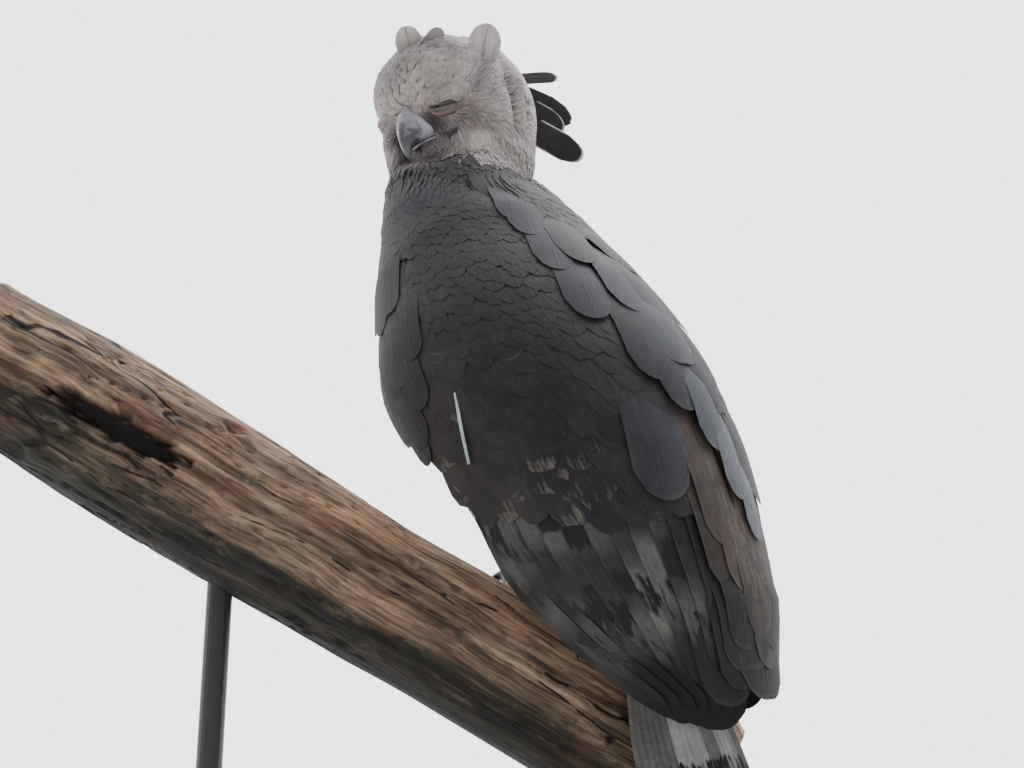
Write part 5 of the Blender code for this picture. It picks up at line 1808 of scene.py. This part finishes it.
def bill_half(name, node, point, along):
    """One half of the bill. Its marks say how far out a point lies, and where a pale highlight is painted on
    the horn.
    """
    bm = bmesh.new()
    bmesh.ops.create_grid(bm, x_segments=72, y_segments=along, size=0.5)
    end, worn = (bm.verts.layers.float.new(layer) for layer in ("end", "worn"))
    for vertex in bm.verts:
        u, v = vertex.co.x + 0.5, vertex.co.y + 0.5
        up = math.cos(2 * math.pi * u)
        vertex.co, vertex[end] = point(u, v), v
        # Painted highlight: a pale line along the ridge of the upper bill, and over the upper edge of the
        # lower bill
        if node == "bill_upper":
            vertex[worn] = max(up, 0.0) ** 10 * float(smooth(0.30, 0.45, v) * smooth(1.0, 0.85, v))
        else:
            vertex[worn] = max(up + 0.25, 0.0) ** 1.5
    made = piece(shifted(closed(bm), head_to_world), name, bill_horn)
    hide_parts(node)
    print(name, len(made.data.polygons), "faces")


bill_half("upper_bill", "bill_upper", upper_point, 60)
bill_half("lower_bill", "bill_lower", lambda u, v: bill_point(LOWER_BILL, -0.45, u, v), 24)


# %% [markdown]
# ## Legs, feet and claws
# The bare yellow shanks and toes are covered with overlapping scutes, and the claws are long and black.
# The toes grip the bark, so their paths run over the branch.

# %% Foot tables
HEADINGS = {"left": math.radians(72.0), "right": math.radians(104.0)}
TOES = {  # turn from the middle toe, length, radius at its root, talon length
    "inner": (math.radians(34.0), 0.056, 0.0115, 0.052),
    "middle": (0.0, 0.074, 0.0115, 0.046),
    "outer": (math.radians(-34.0), 0.058, 0.0105, 0.040),
    "hind": (math.radians(165.0), 0.036, 0.0125, 0.058),
}
PAD_RADIUS = 0.0165
SCUTE = 0.0052  # length of one scute along a toe


def toe_path(foot, toe, distance, height):
    """A point that far along a toe from the middle of the foot, and that high over the bark."""
    uphill, turn, _ = FEET[foot]
    heading = HEADINGS[foot] + (TOES[toe][0] if foot == "left" else -TOES[toe][0])
    radius = BRANCH_RADIUS + height
    turn -= distance * math.sin(heading) / radius
    return branch_point(uphill + distance * math.cos(heading), turn, radius)


def tube_along(path, radius, around, along, beside=NEAR):
    """A closed tube round path(v), of radius(turn, v). The path never runs along beside."""

    def point(u, v):
        way = (path(min(v + 0.01, 1.0)) - path(max(v - 0.01, 0.0))).normalized()
        first = way.cross(beside).normalized()
        turn = 2 * math.pi * u
        return path(v) + (first * math.cos(turn) + way.cross(first) * math.sin(turn)) * radius(turn, v)

    return tube(point, around, along)


def scutes(distance, turn):
    """Ridges of the scutes: each starts proud and slopes under the next one."""
    step = (distance / SCUTE) % 1.0
    return 0.0007 * (1.0 - step) * (0.35 + 0.65 * max(math.cos(turn * 0.5), 0.0))


# %% [markdown]
# Between the scutes the skin is pebbled with small plates of horn. The edges of a cell pattern are dusty
# grooves, and the same grooves press the surface in.

# %% Scaled yellow skin
def scale_material():
    """Bare leg skin: horny yellow scales with darker, dusty grooves."""
    made, tree, shader = new_material("yellow scaled leg skin, keratin")
    coords = add(tree, "TexCoord", out="Object")
    cells = add(tree, "TexVoronoi", {"Vector": coords, "Scale": 330.0}, feature="DISTANCE_TO_EDGE")
    patches = add(tree, "TexNoise", {"Vector": coords, "Scale": 90.0, "Detail": 4.0})
    groove = add(tree, "MapRange", {0: cells, 1: 0.0, 2: 0.12})
    share = add(tree, "Math", {0: patches, 1: groove}, operation="MULTIPLY")
    stops = ((0.05, "#4b3a18"), (0.35, "#a88a3a"), (0.65, "#c9ad55"))
    colour = add(tree, "ValToRGB", {0: share}, stops=stops)
    lift = add(tree, "Bump", {"Height": groove, "Strength": 0.6, "Distance": 0.0005})
    plug(shader, {"Base Color": colour, "Normal": lift, "Roughness": 0.48})
    return made


leg_skin = scale_material()


# %% [markdown]
# A toe is a tube round a path that curves over the bark. Its radius says where the knuckles and the scutes
# are, so one function makes all the toes, and another one the claws.

# %% Feet
SHANK_RADIUS = 0.0117


def foot_piece(foot):
    uphill, turn, _ = FEET[foot]
    sole = branch_point(uphill, turn, BRANCH_RADIUS + SOLE)
    whole = shifted(ball(lambda way: way * PAD_RADIUS, 32, 20), Matrix.Translation(sole))
    for toe, (_, length, thick, _) in TOES.items():

        def radius(turn_round, v, length=length, thick=thick):
            knuckles = 0.10 * math.sin(3 * math.pi * v) ** 2
            end = math.sqrt(max(1.0 - max(v - 0.9, 0.0) ** 2 / 0.0105, 0.05))
            return thick * (1.10 - 0.22 * v - knuckles) * end + scutes(length * v, turn_round)

        def path(v, toe=toe, length=length, thick=thick):
            return toe_path(foot, toe, length * v, 0.82 * thick)

        join(whole, tube_along(path, radius, 28, 56, UPHILL))
    made = piece(whole, "scaled_foot_" + foot, leg_skin)
    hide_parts("foot_" + foot)


def shank_piece(foot):
    uphill, turn, hip_place = FEET[foot]
    hip = bird_to_world @ hip_place
    sole = branch_point(uphill, turn, BRANCH_RADIUS + SOLE)
    top = sole + (hip - sole) * 0.48
    length = (top - sole).length
    bm = tube_along(lambda v: top.lerp(sole, v), lambda t, v: SHANK_RADIUS + scutes(length * v, t), 28, 48)
    made = piece(bm, "scaled_shank_" + foot, leg_skin)
    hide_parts("shank_" + foot)


def talon_piece(foot, toe):
    _, length, thick, talon = TOES[toe]

    def path(v):
        arch = 0.95 * thick + 0.012 * math.sin(math.pi * min(v * 1.12, 1.0)) - 0.55 * thick * v
        return toe_path(foot, toe, length + 0.0005 + 0.78 * talon * v - 0.003 * (1 - v), arch)

    bm = tube_along(path, lambda t, v: max(0.0076 * (1.0 - v) ** 0.75, 0.0006), 20, 28, UPHILL)
    made = piece(bm, f"claw_{foot}_{toe}", claw_horn)
    nowhere = np.zeros(len(made.data.vertices))
    mark(made.data, "end", nowhere)
    mark(made.data, "worn", nowhere + 0.1)
    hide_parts(f"talon_{foot}_{toe}")


for foot_name in FEET:
    foot_piece(foot_name)
    shank_piece(foot_name)
    for toe_name in TOES:
        talon_piece(foot_name, toe_name)
    print(foot_name, "foot with", len(TOES), "claws")


# %% [markdown]
# ## Branch
# The perch is a dead limb without bark. Its colour is painted lit on top, orange brown, and painted in shade
# below, dark olive brown. It has long cracks that run along the grain, a few knots, and one ragged split with
# a hollow; the cracks and the hollow are painted dark as shade.

# %% Weathered wood
GRAIN = 0.0020  # width of a fibre bundle
CRACK = 0.030  # distance between the long cracks
FLECKS = (  # size, where the noise starts and is full, colour, and what tells the layers apart
    (0.020, 0.52, 0.66, "#553023", 1.0),
    (0.013, 0.56, 0.70, "#8b7a66", 4.0),
    (0.008, 0.58, 0.66, "#1a1410", 7.0),
)


def wood_material():
    """Dead limb, barkless and weathered: grain and cracks run along it, so they use its own axes."""
    made, tree, shader = new_material("weathered barkless wood")
    lie = add(tree, "Attribute", out="Vector", attribute_name="lie")
    coords = add(tree, "TexCoord", out="Object")
    # Painted light: 'top' is 1 on the lit top of the limb and falls to 0 on its shaded underside
    top = add(tree, "Attribute", out="Fac", attribute_name="top")
    pit = add(tree, "Attribute", out="Fac", attribute_name="pit")
    bent_lie = add(tree, "TexNoise", {"Vector": coords, "Scale": 9.0, "Detail": 3.0}, "Color")
    sway = add(tree, "VectorMath", {0: bent_lie, 1: (0.05, 0.018, 0.018), 2: lie}, operation="MULTIPLY_ADD")
    fibres = add(tree, "VectorMath", {0: sway, 1: (0.055, 1.0, 1.0)}, operation="MULTIPLY")
    grain = add(tree, "TexNoise", {"Vector": fibres, "Scale": 0.7 / GRAIN, "Detail": 5.0, "Roughness": 0.62})
    streaks = add(tree, "TexNoise", {"Vector": fibres, "Scale": 0.16 / GRAIN, "Detail": 4.0})
    long = add(tree, "VectorMath", {0: sway, 1: (0.10, 1.0, 1.0)}, operation="MULTIPLY")
    cells = add(tree, "TexVoronoi", {"Vector": long, "Scale": 1 / CRACK}, feature="DISTANCE_TO_EDGE")
    patches = add(tree, "TexNoise", {"Vector": coords, "Scale": 16.0, "Detail": 4.0})
    sound = add(tree, "MapRange", {0: patches, 1: 0.48, 2: 0.56, 3: 0.0, 4: 0.05})  # wood without cracks
    cells = add(tree, "Math", {0: cells, 1: sound}, operation="ADD")
    crack = add(tree, "MapRange", {0: cells, 1: 0.006, 2: 0.022})
    # Painted light and shade: orange brown on the lit top, dark olive brown on the shaded underside, both
    # streaked along the grain
    painted_light_and_weathering = add(tree, "Math", {0: patches, 1: 0.5, 2: top}, operation="MULTIPLY_ADD")
    painted_light_and_weathering = add(tree, "Math", {0: streaks, 1: 0.9, 2: painted_light_and_weathering}, operation="MULTIPLY_ADD")
    stops = ((0.36, "#100e0b"), (0.64, "#252118"), (0.84, "#5f4e3d"), (1.0, "#7a614b"))
    painted_light_and_weathering = add(tree, "MapRange", {0: painted_light_and_weathering, 1: 0.0, 2: 1.7})
    colour = add(tree, "ValToRGB", {0: painted_light_and_weathering}, stops=stops)
    for layer, low, high in ((grain, 0.40, 1.70), (streaks, 0.50, 1.50)):
        light = add(tree, "MapRange", {0: layer, 1: 0.36, 2: 0.64, 3: low, 4: high})
        colour = add(tree, "VectorMath", {0: colour, 1: light}, operation="MULTIPLY")
    # Small rusty and dark flecks of decay, and bleached spots
    speck = add(tree, "VectorMath", {0: sway, 1: (0.35, 1.0, 1.0)}, operation="MULTIPLY")
    for size, low, high, tone, seed in FLECKS:
        place = add(tree, "VectorMath", {0: speck, 1: (seed, seed, seed)}, operation="ADD")
        spots = add(tree, "TexNoise", {"Vector": place, "Scale": 1 / size, "Detail": 5.0, "Roughness": 0.65})
        share = add(tree, "MapRange", {0: spots, 1: low, 2: high, 4: 0.7})
        share = add(tree, "Math", {0: share, 1: top}, operation="MULTIPLY")
        colour = add(tree, "Mix", {0: share, 6: colour, 7: rgba(tone)}, out=2, data_type="RGBA")
    # Painted shade: the cracks and the hollow of the split are painted near black
    open_wood = add(tree, "Math", {0: crack, 1: pit}, operation="SUBTRACT", use_clamp=True)
    colour = add(tree, "Mix", {0: open_wood, 6: rgba("#15100c"), 7: colour}, out=2, data_type="RGBA")
    height = grain
    for layer, weight in ((crack, 3.0), (streaks, 1.5), (spots, -1.5)):
        height = add(tree, "Math", {0: layer, 1: weight, 2: height}, operation="MULTIPLY_ADD")
    lift = add(tree, "Bump", {"Height": height, "Strength": 0.8, "Distance": 0.0018})
    plug(shader, {"Base Color": colour, "Normal": lift, "Roughness": 0.82, "Specular IOR Level": 0.3})
    return made


# %% [markdown]
# The limb is a grid rolled round a straight axis. Soft noise bends its surface in and out, finer noise
# along the grain roughens it, and the knots, the cracks and the split are added as bumps and hollows. The
# noise would not be the same everywhere, but under the feet it calms down, so that the toes lie on the
# wood.

# %% Shape of the limb
BRANCH_SWELL = 0.0065
BRANCH_UPHILL, BRANCH_DOWNHILL = 0.612, 0.155
SPLIT_UPHILL, SPLIT_TURN = 0.420, math.radians(91.0)
SPLIT_HALF_SIZES = (0.068, 0.022)
KNOTS = (  # uphill place, turn, size
    (0.146, 1.20, 0.010),
    (0.250, 1.75, 0.012),
    (0.345, 0.70, 0.011),
    (-0.070, 1.45, 0.008),
    (0.500, 2.6, 0.014),
    (0.300, -1.4, 0.014),
)


def branch_skin(uphill, turn):
    """Radius of the limb there, and how deep that spot lies in the split."""
    spot = branch_point(uphill * 0.35, turn, BRANCH_RADIUS)
    calm = float(smooth(0.08, 0.20, abs(uphill - 0.01)))
    knob = noise.noise(spot * 9.0) * 0.008 + noise.noise(spot * 23.0) * 0.004
    radius = BRANCH_RADIUS + BRANCH_SWELL * float(smooth(0.10, 0.45, uphill)) + knob * calm
    fibre = noise.noise(Vector((uphill * 14.0, turn * 22.0, 0.0)))
    fine = noise.noise(Vector((uphill * 34.0, turn * 60.0, 5.0)))
    radius += (0.0011 * fibre + 0.0006 * fine) * calm
    crack = abs(noise.noise(Vector((uphill * 5.0, turn * 4.2 + 0.8 * math.sin(uphill * 9.0), 9.0))))
    radius -= 0.0035 * float(smooth(0.035, 0.0, crack)) * calm
    for at, knot_turn, size in KNOTS:
        off = math.hypot((uphill - at) / 1.5, (turn - knot_turn) * 0.065) / size
        radius += 0.0030 * math.exp(-((off - 0.9) ** 2) * 5.0) - 0.0040 * math.exp(-off * off * 5.0)
    across = (turn - SPLIT_TURN - 0.55 * (uphill - SPLIT_UPHILL)) * 0.067
    ragged = 0.45 * noise.noise(Vector((uphill * 60.0, turn * 18.0, 2.0))) + 0.25 * fine
    off = (uphill - SPLIT_UPHILL) / SPLIT_HALF_SIZES[0], across / (SPLIT_HALF_SIZES[1] * 0.62)
    inside = math.hypot(*off) + ragged
    pit = float(smooth(1.02, 0.80, inside))
    lip = 0.0016 * math.exp(-(((inside - 1.08) / 0.12) ** 2))
    return radius + lip - 0.016 * pit, pit


def limb():
    length = BRANCH_UPHILL + BRANCH_DOWNHILL
    bm = bmesh.new()
    bmesh.ops.create_grid(bm, x_segments=168, y_segments=330, size=0.5)
    lie = bm.verts.layers.float_vector.new("lie")
    top, pit = (bm.verts.layers.float.new(layer) for layer in ("top", "pit"))
    for vertex in bm.verts:
        turn, v = 2 * math.pi * (vertex.co.x + 0.5) - math.pi, vertex.co.y + 0.5
        uphill = -BRANCH_DOWNHILL + length * v
        seam = abs(turn) > math.pi - 1e-6  # both edges of the grid meet here and have to agree
        radius, vertex[pit] = branch_skin(uphill, abs(turn) if seam else turn)
        end = float(smooth(0.012, 0.0, min(v, 1 - v)))
        vertex[lie] = Vector((uphill, 0.065 * math.cos(turn), 0.065 * math.sin(turn)))
        # Painted light: 1 on the lit top of the limb, 0 on its shaded underside
        vertex[top] = 0.5 + 0.5 * math.cos(turn - 0.35)
        vertex.co = branch_point(uphill, turn, radius - 0.005 * end)
    bmesh.ops.remove_doubles(bm, verts=bm.verts, dist=1e-5)
    bmesh.ops.holes_fill(bm, edges=[edge for edge in bm.edges if edge.is_boundary], sides=0)
    caps = [face for face in bm.faces if len(face.verts) > 4]
    inset = bmesh.ops.inset_individual(bm, faces=caps, thickness=0.004, depth=-0.001)
    bmesh.ops.recalc_face_normals(bm, faces=bm.faces)
    made = piece(bm, "weathered_limb", wood_material())
    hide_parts("perch_branch")
    print("limb faces", len(made.data.polygons), "of them round the sawn ends", len(inset["faces"]))


limb()


# %% [markdown]
# ## Stand
# The base is a lacquered board and the two rods are powder-coated steel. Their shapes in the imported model
# are already right, so they only get their finishes.

# %% Finishes of the stand
def painted_material(name, colour, grain_size, roughness, strength):
    """Sprayed black paint: even, satin, with the faint orange peel that a spray gun leaves."""
    made, tree, shader = new_material(name)
    coords = add(tree, "TexCoord", out="Object")
    peel = add(tree, "TexNoise", {"Vector": coords, "Scale": 1 / grain_size, "Detail": 2.0})
    dust = add(tree, "TexNoise", {"Vector": coords, "Scale": 14.0, "Detail": 4.0})
    tone = add(tree, "MapRange", {0: dust, 1: 0.3, 2: 0.7, 3: 0.85, 4: 1.25})
    shade = add(tree, "VectorMath", {0: linear(colour), 1: tone}, operation="MULTIPLY")
    lift = add(tree, "Bump", {"Height": peel, "Strength": strength, "Distance": 0.0002})
    plug(shader, {"Base Color": shade, "Normal": lift, "Roughness": roughness})
    return made


board_paint = painted_material("black lacquered board", "#1a1a1b", 0.0030, 0.32, 0.15)
rod_paint = painted_material("black powder-coated steel", "#1d1d1f", 0.0012, 0.50, 0.35)
for node, finish in (("stand_base", board_paint), ("stand_rod_1", rod_paint), ("stand_rod_2", rod_paint)):
    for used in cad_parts[node].material_slots:
        used.material = finish
    print(node, "is now", finish.name)


# %% [markdown]
# ## Floor and light
# The floor is plain pale paper that runs far back. The light is soft, as under a white overcast sky: a
# world that is bright behind the bird and dim in front, as in the photo, and one wide lamp overhead.

# %% Floor
floor_bm = bmesh.new()
bmesh.ops.create_grid(floor_bm, x_segments=1, y_segments=1, size=4.0)
floor = shown("floor", mesh_of(floor_bm, "floor"))
paper, _, paper_shader = new_material("pale studio floor, matt paper")
plug(paper_shader, {"Base Color": rgba("#e9e9e8"), "Roughness": 0.9})
floor.data.materials.append(paper)
print("floor", tuple(floor.dimensions))

# %% Lights
BRIGHT_SIDE = (0.0, 0.75, 0.66)  # the sky is brightest behind the bird and overhead
DIM_SKY, BRIGHT_SKY = 0.5, 3.4
world = bpy.data.worlds.new("studio")
bpy.context.scene.world = world
world.use_nodes = True
sky = world.node_tree
way = add(sky, "TexCoord", out="Generated")
towards = add(sky, "VectorMath", {0: way, 1: BRIGHT_SIDE}, out="Value", operation="DOT_PRODUCT")
bright = add(sky, "MapRange", {0: towards, 1: -0.2, 2: 0.5, 3: DIM_SKY, 4: BRIGHT_SKY})
plug(sky.nodes["Background"], {"Color": rgba("#f6f8fb"), "Strength": bright})


def soft_light(name, place, aim, size, power, colour):
    lamp = bpy.data.lights.new(name, "AREA")
    lamp.shape, lamp.size, lamp.energy, lamp.color = "DISK", size, power, linear(colour)
    made = shown(name, lamp)
    made.location = place
    made.rotation_euler = (Vector(aim) - Vector(place)).to_track_quat("-Z", "Y").to_euler()


soft_light("sky", (0.5, 0.5, 2.8), (0.08, 0.0, 0.6), 2.2, 70.0, "#ffffff")
print("sky from", DIM_SKY, "to", BRIGHT_SKY)


# %% [markdown]
# ## The end

# %% The end
print("the scene is built")
